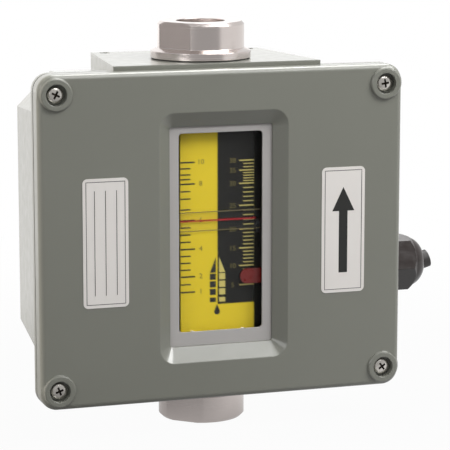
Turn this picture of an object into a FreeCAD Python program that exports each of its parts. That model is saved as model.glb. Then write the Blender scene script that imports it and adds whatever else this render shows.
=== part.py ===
import FreeCAD, Part
import math
import os
import re
import Sketcher

# In-line variable area flow meter with an alarm switch, in millimetres.
# The origin is the centre of the inlet port face, the flow runs up +Z and the window faces -Y.

V = FreeCAD.Vector
doc = FreeCAD.newDocument("FlowMeter")
sheet = doc.addObject("Spreadsheet::Sheet", "Dims")
PARTS = []
ROWS = []
DERIVED = {}


def dimension(alias, number):
    """Put one driving dimension in the next row of the sheet."""
    ROWS.append(alias)
    sheet.set(f"A{len(ROWS)}", alias)
    sheet.set(f"B{len(ROWS)}", str(number))
    sheet.setAlias(f"B{len(ROWS)}", alias)


def derive(name, formula):
    """Name a size or level that follows from the driving dimensions."""
    DERIVED[name] = f"({formula})"


# Whole meter and its die-cast case
dimension("overall_length", 168.0)
dimension("case_width", 155.4)
dimension("pad_stand", 1.8)
dimension("case_drop", 1.2)
derive("pad_low", "fitting_exposed + neck_seal_thick")
derive("case_low", "pad_low - case_drop")
derive("case_high", "overall_length - pad_low - pad_stand")
derive("case_height", "case_high - case_low")
derive("case_mid", "(case_high + case_low) / 2")
dimension("case_corner", 7.0)
dimension("axis_to_front", 32.1)
dimension("axis_to_back", 36.5)
dimension("cover_edge", 7.3)
dimension("cover_wall", 3.0)
dimension("cover_rounding", 2.2)
dimension("gasket_thick", 0.8)
dimension("gasket_inset", 0.4)
dimension("flange_depth", 2.8)
dimension("flange_side", 1.7)
dimension("flange_end", 1.5)
dimension("tub_side_draft", 5.5)
dimension("tub_end_draft", 3.7)
dimension("tub_lift", 2.4)
derive("tub_front_half", "case_width / 2 - flange_side")
derive("tub_back_half", "tub_front_half - tub_side_draft")
derive("tub_mid", "case_mid + tub_lift")
derive("tub_front_rise", "case_height / 2 - flange_end - tub_lift")
derive("tub_back_rise", "tub_front_rise - tub_end_draft")
dimension("tub_corner_cut", 14.5)
dimension("tub_wall", 3.2)
dimension("tub_back_wall", 3.5)
dimension("tub_bevel", 2.0)

# Raised pads on the ends of the case, with two tapped holes in the top one
dimension("pad_front_half", 44.3)
dimension("pad_draft", 6.7)
derive("pad_back_half", "pad_front_half - pad_draft")
dimension("pad_hole_side", 5.2)
derive("pad_hole_half", "pad_back_half - pad_hole_side")
dimension("pad_hole_inset", 3.4)
dimension("pad_hole_radius", 2.2)
dimension("pad_hole_depth", 8.5)

# Cover screws and their bosses
dimension("screw_side_inset", 7.6)
dimension("screw_end_inset", 8.0)
derive("screw_half_width", "case_width / 2 - screw_side_inset")
derive("screw_half_height", "case_height / 2 - screw_end_inset")
dimension("boss_radius", 7.6)
dimension("boss_shoulder", 1.0)
derive("boss_rim_radius", "boss_radius - boss_shoulder")
dimension("boss_rise", 1.2)
dimension("screw_head_radius", 3.35)
dimension("screw_head_height", 2.2)
dimension("screw_head_sink", 1.2)
dimension("screw_radius", 2.0)
dimension("screw_length", 14.0)
dimension("screw_clearance", 0.3)
dimension("head_clearance", 0.95)
derive("counterbore_radius", "screw_head_radius + head_clearance")
dimension("ear_radius", 4.6)
dimension("ear_depth", 6.5)

# Window in the cover
dimension("recess_corner", 6.5)
dimension("recess_depth", 5.0)
dimension("recess_land", 0.8)
dimension("floor_corner", 1.2)
dimension("opening_half", 18.0)
dimension("window_low_inset", 26.4)
dimension("window_high_inset", 26.1)
dimension("bezel_side", 4.1)
dimension("bezel_foot", 5.7)
dimension("bezel_head", 2.9)
dimension("recess_side", 5.5)
dimension("recess_foot", 6.1)
dimension("recess_head", 6.2)
derive("opening_low", "pad_low + window_low_inset")
derive("opening_high", "case_high - window_high_inset")
derive("floor_half", "opening_half + bezel_side")
derive("floor_low", "opening_low - bezel_foot")
derive("floor_high", "opening_high + bezel_head")
derive("recess_half", "floor_half + recess_side")
derive("recess_low", "floor_low - recess_foot")
derive("recess_high", "floor_high + recess_head")
dimension("opening_corner", 1.5)
dimension("frame_wall", 4.5)
dimension("lens_lap", 4.0)
dimension("lens_clearance", 0.2)
dimension("bezel_thick", 0.7)
dimension("window_gasket_thick", 0.4)
dimension("clamp_lap", 3.0)
dimension("clamp_height", 10.0)
dimension("clamp_half", 24.0)
dimension("clamp_thick", 0.6)
dimension("clamp_screw_half", 19.0)
dimension("label_width", 19.0)
dimension("label_height", 52.8)
dimension("label_corner", 2.0)
dimension("label_thick", 0.2)
dimension("label_left_inset", 27.4)
derive("label_left", "label_left_inset - case_width / 2")
dimension("label_right_inset", 25.9)
derive("label_right", "case_width / 2 - label_right_inset")
dimension("label_drop", 0.4)
derive("label_mid", "case_mid - label_drop")

# Turned end fittings
dimension("fitting_exposed", 15.1)
dimension("fitting_radius", 18.15)
dimension("fitting_chamfer", 1.2)
dimension("collar_step", 2.75)
derive("collar_radius", "fitting_radius + collar_step")
dimension("collar_height", 2.9)
dimension("collar_cone", 1.2)
dimension("flat_depth", 2.15)
derive("flat_distance", "fitting_radius - flat_depth")
dimension("top_flat_turn", 31.0)
dimension("bottom_flat_turn", 47.0)
dimension("port_radius", 10.2)
dimension("port_depth", 14.0)
dimension("port_runout", 2.0)
dimension("port_step", 2.2)
derive("flow_radius", "port_radius - port_step")
dimension("spigot_wall", 4.4)
derive("spigot_radius", "flow_radius + spigot_wall")
dimension("spigot_grip", 15.0)
dimension("neck_depth", 11.4)
dimension("neck_clearance", 0.2)
dimension("neck_seal_thick", 0.5)
dimension("ring_cord", 0.8)
dimension("ring_set_back", 5.0)

# Metering tube, cone, piston and spring
derive("tube_low", "pad_low + neck_depth")
derive("tube_high", "overall_length - tube_low")
dimension("tube_wall", 3.6)
derive("tube_radius", "spigot_radius + tube_wall")
dimension("bore_step", 1.9)
derive("bore_radius", "spigot_radius - bore_step")
dimension("neck_boss_wall", 4.5)
derive("neck_boss_radius", "tube_radius + neck_boss_wall")
dimension("spider_thick", 3.0)
dimension("spider_hole_radius", 2.6)
dimension("spider_rim", 5.0)
derive("spider_hole_pitch", "spigot_radius - spider_rim")
dimension("pin_thread_radius", 2.0)
dimension("pin_tail", 6.0)
dimension("orifice_gap", 0.3)
derive("cone_foot_radius", "orifice_radius - orifice_gap")
dimension("cone_tip_radius", 3.2)
dimension("nut_across", 7.0)
dimension("nut_thick", 3.2)
dimension("reading_rise", 3.6)
derive("reading_height", "overall_length / 2 + reading_rise")
dimension("piston_height", 16.0)
dimension("piston_clearance", 0.05)
dimension("piston_floor", 6.0)
dimension("piston_web", 1.2)
dimension("cup_wall", 1.5)
derive("cup_radius", "bore_radius - cup_wall")
dimension("magnet_cover", 0.7)
derive("magnet_outer", "bore_radius - magnet_cover")
dimension("magnet_wall", 2.9)
derive("magnet_inner", "magnet_outer - magnet_wall")
dimension("orifice_land", 0.9)
derive("orifice_radius", "magnet_inner - orifice_land")
dimension("orifice_thick", 1.0)
dimension("spring_side", 0.8)
derive("spring_radius", "cup_radius - spring_side")
dimension("spring_wire", 0.5)
dimension("spring_turns", 7.0)

# Scale plate, its clamps on the tube, and the follower that carries the pointer
dimension("dial_room", 1.0)
derive("axis_to_dial", "follower_radius + dial_room + scale_thick")
dimension("scale_thick", 1.2)
dimension("scale_side_gap", 2.0)
derive("scale_half", "opening_half - scale_side_gap")
dimension("scale_low_gap", 8.5)
derive("scale_low", "tube_low + scale_low_gap")
dimension("scale_high_gap", 10.0)
derive("scale_high", "tube_high - scale_high_gap")
dimension("scale_screw_half", 11.0)
dimension("scale_head_height", 0.6)
dimension("bracket_wall", 3.5)
dimension("bracket_height", 8.0)
dimension("bracket_half", 13.5)
dimension("small_screw_radius", 1.2)
dimension("small_head_radius", 2.0)
dimension("small_head_height", 1.0)
dimension("small_screw_length", 5.0)
dimension("follower_clearance", 0.08)
dimension("follower_wall", 4.4)
derive("follower_radius", "tube_radius + follower_wall")
dimension("follower_height", 12.0)
dimension("follower_floor", 4.5)
dimension("follower_cap", 2.0)
dimension("follower_cover", 1.2)
derive("follower_magnet_inner", "tube_radius + follower_cover")
derive("follower_magnet_outer", "follower_radius - follower_cover")
dimension("arm_gap", 0.5)
dimension("arm_thick", 2.0)
dimension("arm_root", 6.0)
dimension("cam_thick", 2.0)
dimension("cam_front", 18.0)
dimension("cam_back", 11.0)
dimension("layer_gap", 0.3)
dimension("vane_thick", 0.5)
dimension("vane_below", 4.4)
dimension("vane_above", 3.8)
dimension("line_thick", 0.1)
dimension("line_height", 0.7)
dimension("line_half", 16.3)

# Adjustable alarm switch on its rail
dimension("set_drop", 20.5)
derive("set_height", "overall_length / 2 - set_drop")
dimension("tab_thick", 0.6)
dimension("tab_height", 6.3)
dimension("tab_lap", 6.7)
derive("tab_tip", "scale_half - tab_lap")
dimension("rail_reach", 16.0)
derive("rail_offset", "switch_near + rail_reach")
dimension("rail_half", 6.0)
dimension("rail_thick", 1.6)
dimension("rail_face", 9.6)
dimension("rail_end_gap", 4.0)
derive("rail_low", "tube_low + rail_end_gap")
derive("rail_high", "tube_high - rail_end_gap")
dimension("slot_half", 2.6)
dimension("slot_low_inset", 27.0)
derive("slot_low", "rail_low + slot_low_inset")
dimension("slot_high_inset", 11.0)
derive("slot_high", "rail_high - slot_high_inset")
dimension("rail_screw_inset", 4.0)
dimension("standoff_radius", 4.0)
dimension("slide_gap", 0.2)
dimension("carriage_thick", 2.0)
dimension("carriage_front_lip", 3.0)
derive("carriage_near", "switch_near - carriage_front_lip")
dimension("carriage_rear_lip", 5.0)
derive("carriage_far", "rail_offset + carriage_rear_lip")
dimension("carriage_half", 13.0)
dimension("post_half", 3.0)
dimension("switch_set_back", 7.0)
derive("switch_near", "scale_half + arm_gap + arm_thick + cam_thick + switch_set_back")
dimension("switch_width", 10.0)
dimension("switch_half", 10.0)
dimension("switch_depth", 6.4)
dimension("switch_screw_in", 6.5)
dimension("blade_length", 2.4)
dimension("blade_thick", 0.5)
dimension("blade_pitch", 7.0)
dimension("pivot_rise", 9.0)
dimension("pivot_set_out", 2.0)
dimension("pivot_radius", 0.5)
dimension("pivot_clearance", 0.05)
dimension("barrel_radius", 1.1)
dimension("ear_width", 0.8)
dimension("lever_thick", 0.4)
dimension("lever_half", 1.9)
dimension("roller_radius", 2.2)
dimension("roller_half", 1.2)
dimension("roller_drop", 5.0)
dimension("roller_gap", 0.3)
dimension("plunger_radius", 0.9)
dimension("plunger_rise", 3.0)
dimension("plunger_length", 3.2)
dimension("plunger_tip_gap", 0.2)
dimension("thumb_rise", 9.0)
dimension("thumb_radius", 3.5)
dimension("thumb_height", 4.0)
dimension("clamp_nut_half", 4.5)
dimension("clamp_nut_thick", 3.0)

# Cable gland on the right wall, its cable, and the terminal block
dimension("gland_depth", 3.0)
dimension("gland_drop", 22.6)
derive("gland_height", "case_mid - gland_drop")
dimension("gland_stand", 0.8)
derive("gland_seat", "tub_front_half + gland_stand")
dimension("gland_boss_radius", 15.0)
dimension("gland_boss_root", 9.0)
dimension("gland_thread_radius", 9.4)
dimension("gland_clearance", 0.3)
dimension("gland_washer_thick", 1.2)
dimension("gland_washer_radius", 11.4)
dimension("gland_hex", 22.0)
dimension("gland_turn", 4.0)
dimension("gland_hex_length", 6.0)
dimension("gland_tail", 16.0)
dimension("gland_bore", 6.4)
dimension("gland_nut_gap", 0.4)
dimension("gland_nut_reach", 19.2)
derive("gland_nut_hex_end", "gland_seat + gland_nut_reach")
dimension("gland_dome_length", 5.7)
derive("gland_nut_end", "gland_nut_hex_end + gland_dome_length")
dimension("gland_nut_wall", 2.6)
dimension("gland_exit_radius", 5.0)
dimension("gland_dome_radius", 8.2)
dimension("locknut_hex", 24.0)
dimension("locknut_thick", 5.0)
dimension("cable_radius", 3.85)
dimension("core_lead", 0.2)
derive("cable_inner_end", "gland_seat - gland_tail - core_lead")
dimension("cable_tilt", 16.0)
dimension("cable_bend", 10.0)
dimension("cable_lead", 1.2)
dimension("cable_stub", 2.0)
dimension("core_radius", 0.9)
dimension("core_pitch", 4.0)
dimension("core_bend", 4.0)
dimension("block_side_gap", 15.7)
derive("block_mid", "tub_back_half - tub_wall - block_side_gap")
dimension("block_half", 7.0)
dimension("block_drop", 0.5)
derive("block_low", "case_mid - block_drop")
dimension("block_length", 36.0)
derive("block_high", "block_low + block_length")
dimension("block_height", 13.0)
dimension("block_step", 5.0)
dimension("earth_side_gap", 9.7)
derive("earth_offset", "tub_back_half - tub_wall - earth_side_gap")
dimension("earth_low_gap", 27.6)
derive("earth_height", "case_low + earth_low_gap")
doc.recompute()


def spell_out(name):
    """A name as the sheet has it, or the formula that a derived name stands for."""
    return link(DERIVED[name]) if name in DERIVED else f"Dims.{name}"


def link(formula):
    """Turn a formula of dimension names into one that refers to the sheet."""
    return re.sub(r"[a-z]\w*", lambda found: spell_out(found.group(0)), str(formula))


def value(formula):
    """Work a formula out as a plain number."""
    return float(sheet.evalExpression(link(formula)))


def bind(thing, field, formula):
    """Tie one property of an object to the sheet."""
    thing.setExpression(field, link(formula))


# Levels from front to back, worked out from the driving dimensions
COVER_FRONT = "(-axis_to_front)"
PARTING = f"({COVER_FRONT} + cover_edge)"
BASE_FRONT = f"({PARTING} + gasket_thick)"
FLANGE_BACK = f"({BASE_FRONT} + flange_depth)"
EAR_BACK = f"({FLANGE_BACK} + ear_depth)"
BASE_BACK = "(axis_to_back)"
INNER_BACK = f"({BASE_BACK} - tub_back_wall)"
WALL_GRIP = "(tub_back_wall / 2)"
BOSS_TOP = f"({COVER_FRONT} - boss_rise)"
HEAD_TOP = f"({BOSS_TOP} + screw_head_sink)"
HEAD_SEAT = f"({HEAD_TOP} + screw_head_height)"
SCREW_HOLE = "(screw_radius + screw_clearance)"
FLOOR = f"({COVER_FRONT} + recess_depth)"
GASKET_FRONT = f"({FLOOR} + bezel_thick)"
LENS_FRONT = f"({GASKET_FRONT} + window_gasket_thick)"
SCALE_FRONT = "(-axis_to_dial)"
SCALE_BACK = f"({SCALE_FRONT} + scale_thick)"
VANE_BACK = f"({SCALE_FRONT} - layer_gap)"
VANE_FRONT = f"({VANE_BACK} - vane_thick)"
LINE_FRONT = f"({VANE_FRONT} - line_thick)"
TAB_BACK = f"({LINE_FRONT} - layer_gap)"
TAB_FRONT = f"({TAB_BACK} - tab_thick)"
RAIL_FRONT = "(-rail_face)"
RAIL_BACK = f"({RAIL_FRONT} + rail_thick)"
CARRIAGE_BACK = f"({RAIL_FRONT} - slide_gap)"
CARRIAGE_FRONT = f"({CARRIAGE_BACK} - carriage_thick)"
SWITCH_FRONT = f"({CARRIAGE_FRONT} - switch_depth)"
SWITCH_MID = f"({CARRIAGE_FRONT} - switch_depth / 2)"

# Widths and heights of the case
HALF_WIDTH = "(case_width / 2)"
HALF_HEIGHT = "(case_height / 2)"
LENS_HALF = "(floor_half + lens_lap)"
LENS_LOW = "(floor_low - lens_lap)"
LENS_HIGH = "(floor_high + lens_lap)"

# Levels along the flow, from the inlet face up
PAD_TOP = "(case_high + pad_stand)"
PAD_LOW = "pad_low"
SEAT_LOW = "tube_low"
SEAT_HIGH = "tube_high"
SPIDER_LOW = f"({SEAT_LOW} + spigot_grip)"
SPIDER_HIGH = f"({SEAT_HIGH} - spigot_grip)"
CHAMBER_LOW = f"({SPIDER_LOW} + spider_thick)"
CHAMBER_HIGH = f"({SPIDER_HIGH} - spider_thick)"
PISTON_LOW = "(reading_height - piston_height / 2)"
PISTON_HIGH = "(reading_height + piston_height / 2)"
FOLLOWER_LOW = "(reading_height - follower_height / 2)"
FOLLOWER_HIGH = "(reading_height + follower_height / 2)"
ARM_NEAR = "(scale_half + arm_gap)"
ARM_FAR = f"({ARM_NEAR} + arm_thick)"
CAM_FACE = f"({ARM_FAR} + cam_thick)"
GLAND_NUT_START = "(gland_seat + gland_washer_thick + gland_hex_length + gland_nut_gap)"

ALONG_Y = FreeCAD.Rotation(V(1, 0, 0), -90)
CORNERS = [(sx, sz) for sx in (-1, 1) for sz in (-1, 1)]


def new_body(label):
    """Start a sub-part that is built from sketches."""
    body = doc.addObject("PartDesign::Body", label)
    body.Label = label
    PARTS.append(body)
    return body


def sketch_on(body, role, level):
    """Add a sketch on one of the body's own origin planes, at a level across that plane."""
    sketch = body.newObject("Sketcher::SketchObject", "outline")
    plane = [item for item in body.Origin.OriginFeatures if item.Role == role][0]
    sketch.AttachmentSupport = (plane, [""])
    sketch.MapMode = "FlatFace"
    sign = "-1" if role == "XZ_Plane" else "1"
    bind(sketch, "AttachmentOffset.Base.z", f"{sign} * ({level})")
    return sketch


def hold(sketch, kind, places, formula):
    """Add a dimensional constraint and tie it to the sheet."""
    number = sketch.addConstraint(Sketcher.Constraint(kind, *places, value(formula)))
    bind(sketch, f"Constraints[{number}]", formula)


def draw_loop(sketch, corners):
    """Draw a closed loop. A corner with a radius and a side starts an arc instead of a line."""
    spots = [V(value(corner[0]), value(corner[1]), 0) for corner in corners]
    sides = []
    for index, corner in enumerate(corners):
        here = spots[index]
        there = spots[(index + 1) % len(spots)]
        if len(corner) == 2:
            sides.append((sketch.addGeometry(Part.LineSegment(here, there)), 1, 2))
            continue
        radius = value(corner[2])
        half = (there - here) * 0.5
        across = V(-half.y, half.x, 0).normalize()
        rise = math.sqrt(max(radius ** 2 - half.Length ** 2, 0))
        centre = here + half + across * rise * corner[3]
        first, last = (here, there) if corner[3] > 0 else (there, here)
        angles = [math.atan2(spot.y - centre.y, spot.x - centre.x) for spot in (first, last)]
        arc = sketch.addGeometry(Part.ArcOfCircle(Part.Circle(centre, V(0, 0, 1), radius), *angles))
        hold(sketch, "Radius", (arc,), corner[2])
        sides.append((arc, 1, 2) if corner[3] > 0 else (arc, 2, 1))
    for index, side in enumerate(sides):
        following = sides[(index + 1) % len(sides)]
        sketch.addConstraint(Sketcher.Constraint("Coincident", side[0], side[2], following[0], following[1]))
    for side, corner in zip(sides, corners):
        hold(sketch, "DistanceX", (-1, 1, side[0], side[1]), corner[0])
        hold(sketch, "DistanceY", (-1, 1, side[0], side[1]), corner[1])


def draw_circle(sketch, across, up, radius):
    """Draw a circle by its centre and radius."""
    centre = V(value(across), value(up), 0)
    ring = sketch.addGeometry(Part.Circle(centre, V(0, 0, 1), value(radius)))
    hold(sketch, "DistanceX", (-1, 1, ring, 3), across)
    hold(sketch, "DistanceY", (-1, 1, ring, 3), up)
    hold(sketch, "Radius", (ring,), radius)


def box_loop(left, low, right, high):
    """Corners of a plain rectangle."""
    return [(left, low), (right, low), (right, high), (left, high)]


def round_loop(left, low, right, high, radius):
    """Corners of a rectangle with round corners."""
    return [
        (f"{left} + {radius}", low),
        (f"{right} - {radius}", low, radius, 1),
        (right, f"{low} + {radius}"),
        (right, f"{high} - {radius}", radius, 1),
        (f"{right} - {radius}", high),
        (f"{left} + {radius}", high, radius, 1),
        (left, f"{high} - {radius}"),
        (left, f"{low} + {radius}", radius, 1),
    ]


def cut_corner_loop(half, rise, cut, mid="tub_mid"):
    """Corners of the case's section: a rectangle about a middle level with its corners cut off."""
    return [
        (f"-({half}) + {cut}", f"{mid} - ({rise})"),
        (f"{half} - {cut}", f"{mid} - ({rise})"),
        (f"{half}", f"{mid} - ({rise}) + {cut}"),
        (f"{half}", f"{mid} + {rise} - {cut}"),
        (f"{half} - {cut}", f"{mid} + {rise}"),
        (f"-({half}) + {cut}", f"{mid} + {rise}"),
        (f"-({half})", f"{mid} + {rise} - {cut}"),
        (f"-({half})", f"{mid} - ({rise}) + {cut}"),
    ]


def hex_loop(across, turn=0.0):
    """Corners of a hexagon about the sketch's origin, turned by some degrees."""
    steps = [math.radians(60 * count + turn) for count in range(6)]
    reach = 1 / math.sqrt(3)
    return [tuple(f"{across} * {reach * part(a):.9f}" for part in (math.cos, math.sin)) for a in steps]


def slab(body, role, start, end, loops=(), circles=(), cutting=False, taper=0):
    """Add or cut a slab between two levels across an origin plane, with straight or tapered sides."""
    before = body.Shape.Volume if cutting else 0
    sketch = sketch_on(body, role, start)
    for loop in loops:
        draw_loop(sketch, loop)
    for circle in circles:
        draw_circle(sketch, *circle)
    kind = "PartDesign::Pocket" if cutting else "PartDesign::Pad"
    feature = body.newObject(kind, "cut" if cutting else "slab")
    feature.Profile = sketch
    feature.Reversed = (role == "XZ_Plane") != cutting
    feature.TaperAngle = taper
    bind(feature, "Length", f"({end}) - ({start})")
    doc.recompute()
    if cutting and body.Shape.Volume >= before:
        raise ValueError(f"{body.Label}: a cut from {start} removed nothing")
    return feature


def loft(body, levels, loops, cutting=False):
    """Add or cut a straight-sided loft through outlines at several levels across the front plane."""
    sketches = [sketch_on(body, "XZ_Plane", level) for level in levels]
    for sketch, loop in zip(sketches, loops):
        draw_loop(sketch, loop)
    kind = "PartDesign::SubtractiveLoft" if cutting else "PartDesign::AdditiveLoft"
    feature = body.newObject(kind, "loft")
    feature.Profile = sketches[0]
    feature.Sections = sketches[1:]
    feature.Ruled = True
    doc.recompute()


def turn(body, role, axis, loop, cutting=False):
    """Add or cut a full turn of a profile about an axis of its sketch."""
    sketch = sketch_on(body, role, "0")
    draw_loop(sketch, loop)
    kind = "PartDesign::Groove" if cutting else "PartDesign::Revolution"
    feature = body.newObject(kind, "turning")
    feature.Profile = sketch
    feature.ReferenceAxis = (sketch, [axis])
    feature.Angle = 360
    doc.recompute()


def turned(label, loop, role="XZ_Plane", axis="V_Axis"):
    """A sub-part that is one turned profile."""
    body = new_body(label)
    turn(body, role, axis, loop)
    return body


def place(body, across="0", depth="0", up="0"):
    """Tie a sub-part's place to the sheet."""
    for letter, formula in zip("xyz", (across, depth, up)):
        bind(body, f"Placement.Base.{letter}", formula)


def round_edges(body, radius, chosen):
    """Fillet the edges of a body that a test picks out."""
    doc.recompute()
    base = body.Tip
    names = [f"Edge{count}" for count, edge in enumerate(base.Shape.Edges, 1) if chosen(edge.BoundBox)]
    feature = body.newObject("PartDesign::Fillet", "rounding")
    feature.Base = (base, names)
    bind(feature, "Radius", radius)
    doc.recompute()


def group(label, solids):
    """A node of several equal solids, copied from shapes made with the sheet's sizes."""
    feature = doc.addObject("Part::Feature", label)
    feature.Label = label
    feature.Shape = Part.makeCompound(solids)
    PARTS.append(feature)
    return feature


def turned_shape(profile):
    """A solid turned about Z from a closed profile of radius and height."""
    points = [V(value(radius), 0, value(height)) for radius, height in profile]
    face = Part.Face(Part.makePolygon(points + points[:1]))
    return face.revolve(V(0, 0, 0), V(0, 0, 1), 360)


def screw_shape(head_radius, head_height, shank_radius, length):
    """A screw along Z with its head's seat at the origin and its shank pointing up."""
    head_step = f"{head_height} * 0.35"
    return turned_shape([
        ("0", f"-({head_height})"),
        (f"{head_radius} - {head_step}", f"-({head_height})"),
        (head_radius, f"-({head_height}) + {head_step}"),
        (head_radius, "0"),
        (shank_radius, "0"),
        (shank_radius, length),
        ("0", length),
    ])


def copies(shape, places, rotation=FreeCAD.Rotation()):
    """Copies of a shape at several places, each given as three formulas."""
    made = []
    for spot in places:
        copy = shape.copy()
        copy.Placement = FreeCAD.Placement(V(*[value(formula) for formula in spot]), rotation)
        made.append(copy)
    return made


def at_corners(depth):
    """The four cover screws' places at one depth."""
    return [(f"{sx} * screw_half_width", depth, f"case_mid + {sz} * screw_half_height") for sx, sz in CORNERS]


def corner_circles(radius):
    """Circles about the four cover screws, for a sketch on the front plane."""
    return [(across, up, radius) for across, _, up in at_corners("0")]


def make_base():
    """Die-cast rear half of the case: flange, drafted tub with cut corners, and the two neck pads."""
    body = new_body("enclosure_base")
    outer = [
        cut_corner_loop("tub_front_half", "tub_front_rise", "tub_corner_cut"),
        cut_corner_loop("tub_back_half", "tub_back_rise", "tub_corner_cut"),
        cut_corner_loop("(tub_back_half - tub_bevel)", "(tub_back_rise - tub_bevel)", "tub_corner_cut"),
    ]
    loft(body, [BASE_FRONT, f"{BASE_BACK} - tub_bevel", BASE_BACK], outer)
    pad = [
        ("-pad_front_half", BASE_FRONT),
        ("pad_front_half", BASE_FRONT),
        ("pad_back_half", BASE_BACK),
        ("-pad_back_half", BASE_BACK),
    ]
    slab(body, "XY_Plane", PAD_LOW, PAD_TOP, [pad])
    rim = round_loop(f"-{HALF_WIDTH}", "case_low", HALF_WIDTH, "case_high", "case_corner")
    slab(body, "XZ_Plane", BASE_FRONT, FLANGE_BACK, [rim])
    slab(body, "XZ_Plane", BASE_FRONT, FLANGE_BACK, circles=corner_circles("boss_radius"))
    slab(body, "XZ_Plane", BASE_FRONT, EAR_BACK, circles=corner_circles("ear_radius"))
    slab(body, "YZ_Plane", "gland_seat - gland_boss_root", "gland_seat",
         circles=[("gland_depth", "gland_height", "gland_boss_radius")])
    inner = [
        cut_corner_loop("tub_front_half - tub_wall", "tub_front_rise - tub_wall", "tub_corner_cut"),
        cut_corner_loop("tub_back_half - tub_wall", "tub_back_rise - tub_wall", "tub_corner_cut"),
    ]
    loft(body, [BASE_FRONT, INNER_BACK], inner, cutting=True)
    neck = [("0", "0", "neck_boss_radius")]
    slab(body, "XY_Plane", SEAT_HIGH, f"{PAD_TOP} - neck_depth / 4", circles=neck)
    slab(body, "XY_Plane", f"{PAD_LOW} + neck_depth / 4", SEAT_LOW, circles=neck)
    neck_hole = ("0", "0", "spigot_radius + neck_clearance")
    slab(body, "XY_Plane", PAD_LOW, PAD_TOP, circles=[neck_hole], cutting=True)
    slab(body, "XZ_Plane", BASE_FRONT, f"{HEAD_SEAT} + screw_length", circles=corner_circles("screw_radius"),
         cutting=True)
    gland_hole = ("gland_depth", "gland_height", "gland_thread_radius + gland_clearance")
    gland_reach = "gland_seat - gland_boss_root * 2"
    slab(body, "YZ_Plane", gland_reach, "gland_seat", circles=[gland_hole], cutting=True)
    hole_depth = f"{BASE_BACK} - pad_hole_inset"
    pad_holes = [(f"{side} * pad_hole_half", hole_depth, "pad_hole_radius") for side in (-1, 1)]
    slab(body, "XY_Plane", f"{PAD_TOP} - pad_hole_depth", PAD_TOP, circles=pad_holes, cutting=True)
    slab(body, "XZ_Plane", INNER_BACK, f"{INNER_BACK} + {WALL_GRIP}",
         circles=[("earth_offset", "earth_height", "screw_radius")] + block_holes(), cutting=True)


def make_cover():
    """Die-cast front cover with a sloped window recess and four raised screw bosses."""
    body = new_body("enclosure_cover")
    rim = round_loop(f"-{HALF_WIDTH}", "case_low", HALF_WIDTH, "case_high", "case_corner")
    slab(body, "XZ_Plane", COVER_FRONT, PARTING, [rim])
    front = value(COVER_FRONT)
    round_edges(body, "cover_rounding", lambda box: box.YMax < front + 0.01)
    shoulder = "(boss_radius - boss_rim_radius)"
    slab(body, "XZ_Plane", f"{COVER_FRONT} + {shoulder}", PARTING, circles=corner_circles("boss_radius"))
    slab(body, "XZ_Plane", COVER_FRONT, f"{COVER_FRONT} + {shoulder}",
         circles=corner_circles("boss_rim_radius"), taper=45)
    bevel = "(boss_rise / 3)"
    slab(body, "XZ_Plane", f"{BOSS_TOP} + {bevel}", PARTING, circles=corner_circles("boss_rim_radius"))
    slab(body, "XZ_Plane", BOSS_TOP, f"{BOSS_TOP} + {bevel}",
         circles=corner_circles(f"(boss_rim_radius - {bevel})"), taper=45)
    cavity = cut_corner_loop(f"{HALF_WIDTH} - cover_wall", f"{HALF_HEIGHT} - cover_wall",
                             "(tub_corner_cut + cover_wall)", "case_mid")
    slab(body, "XZ_Plane", f"{COVER_FRONT} + cover_wall", PARTING, [cavity], cutting=True)
    frame_side = f"({LENS_HALF} + frame_wall)"
    frame_end = "(frame_wall + clamp_height)"
    frame = round_loop(f"-{frame_side}", f"({LENS_LOW} - {frame_end})",
                       frame_side, f"({LENS_HIGH} + {frame_end})", "recess_corner")
    slab(body, "XZ_Plane", f"{COVER_FRONT} + cover_wall / 2", PARTING, [frame])
    recess = [
        round_loop("-recess_half", "recess_low", "recess_half", "recess_high", "recess_corner"),
        round_loop("-floor_half", "floor_low", "floor_half", "floor_high", "floor_corner"),
    ]
    loft(body, [COVER_FRONT, f"{FLOOR} - recess_land"], recess, cutting=True)
    slab(body, "XZ_Plane", f"{FLOOR} - recess_land", PARTING, [recess[1]], cutting=True)
    pocket = round_loop(f"-({LENS_HALF} + lens_clearance)", f"({LENS_LOW} - lens_clearance)",
                        f"({LENS_HALF} + lens_clearance)", f"({LENS_HIGH} + lens_clearance)", "floor_corner")
    slab(body, "XZ_Plane", FLOOR, PARTING, [pocket], cutting=True)
    for clamp in clamp_loops():
        slab(body, "XZ_Plane", f"{PARTING} - clamp_thick", PARTING, [clamp], cutting=True)
    slab(body, "XZ_Plane", f"{PARTING} - cover_wall", PARTING,
         circles=[(across, up, "small_screw_radius") for across, up in clamp_screws()], cutting=True)
    slab(body, "XZ_Plane", BOSS_TOP, PARTING, circles=corner_circles(SCREW_HOLE), cutting=True)
    slab(body, "XZ_Plane", BOSS_TOP, HEAD_SEAT, circles=corner_circles("counterbore_radius"), cutting=True)


def clamp_loops():
    """Outlines of the two bars that hold the lens, below and above the window."""
    low = (f"({LENS_LOW} + clamp_lap - clamp_height)", f"({LENS_LOW} + clamp_lap)")
    high = (f"({LENS_HIGH} - clamp_lap)", f"({LENS_HIGH} - clamp_lap + clamp_height)")
    return [box_loop("-clamp_half", ends[0], "clamp_half", ends[1]) for ends in (low, high)]


def clamp_screws():
    """Places of the clamp bars' screws, halfway between the lens and the bars' outer edges."""
    reach = "(clamp_height - clamp_lap) / 2"
    heights = (f"({LENS_LOW} - {reach})", f"({LENS_HIGH} + {reach})")
    return [(f"{side} * clamp_screw_half", height) for height in heights for side in (-1, 1)]


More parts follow.
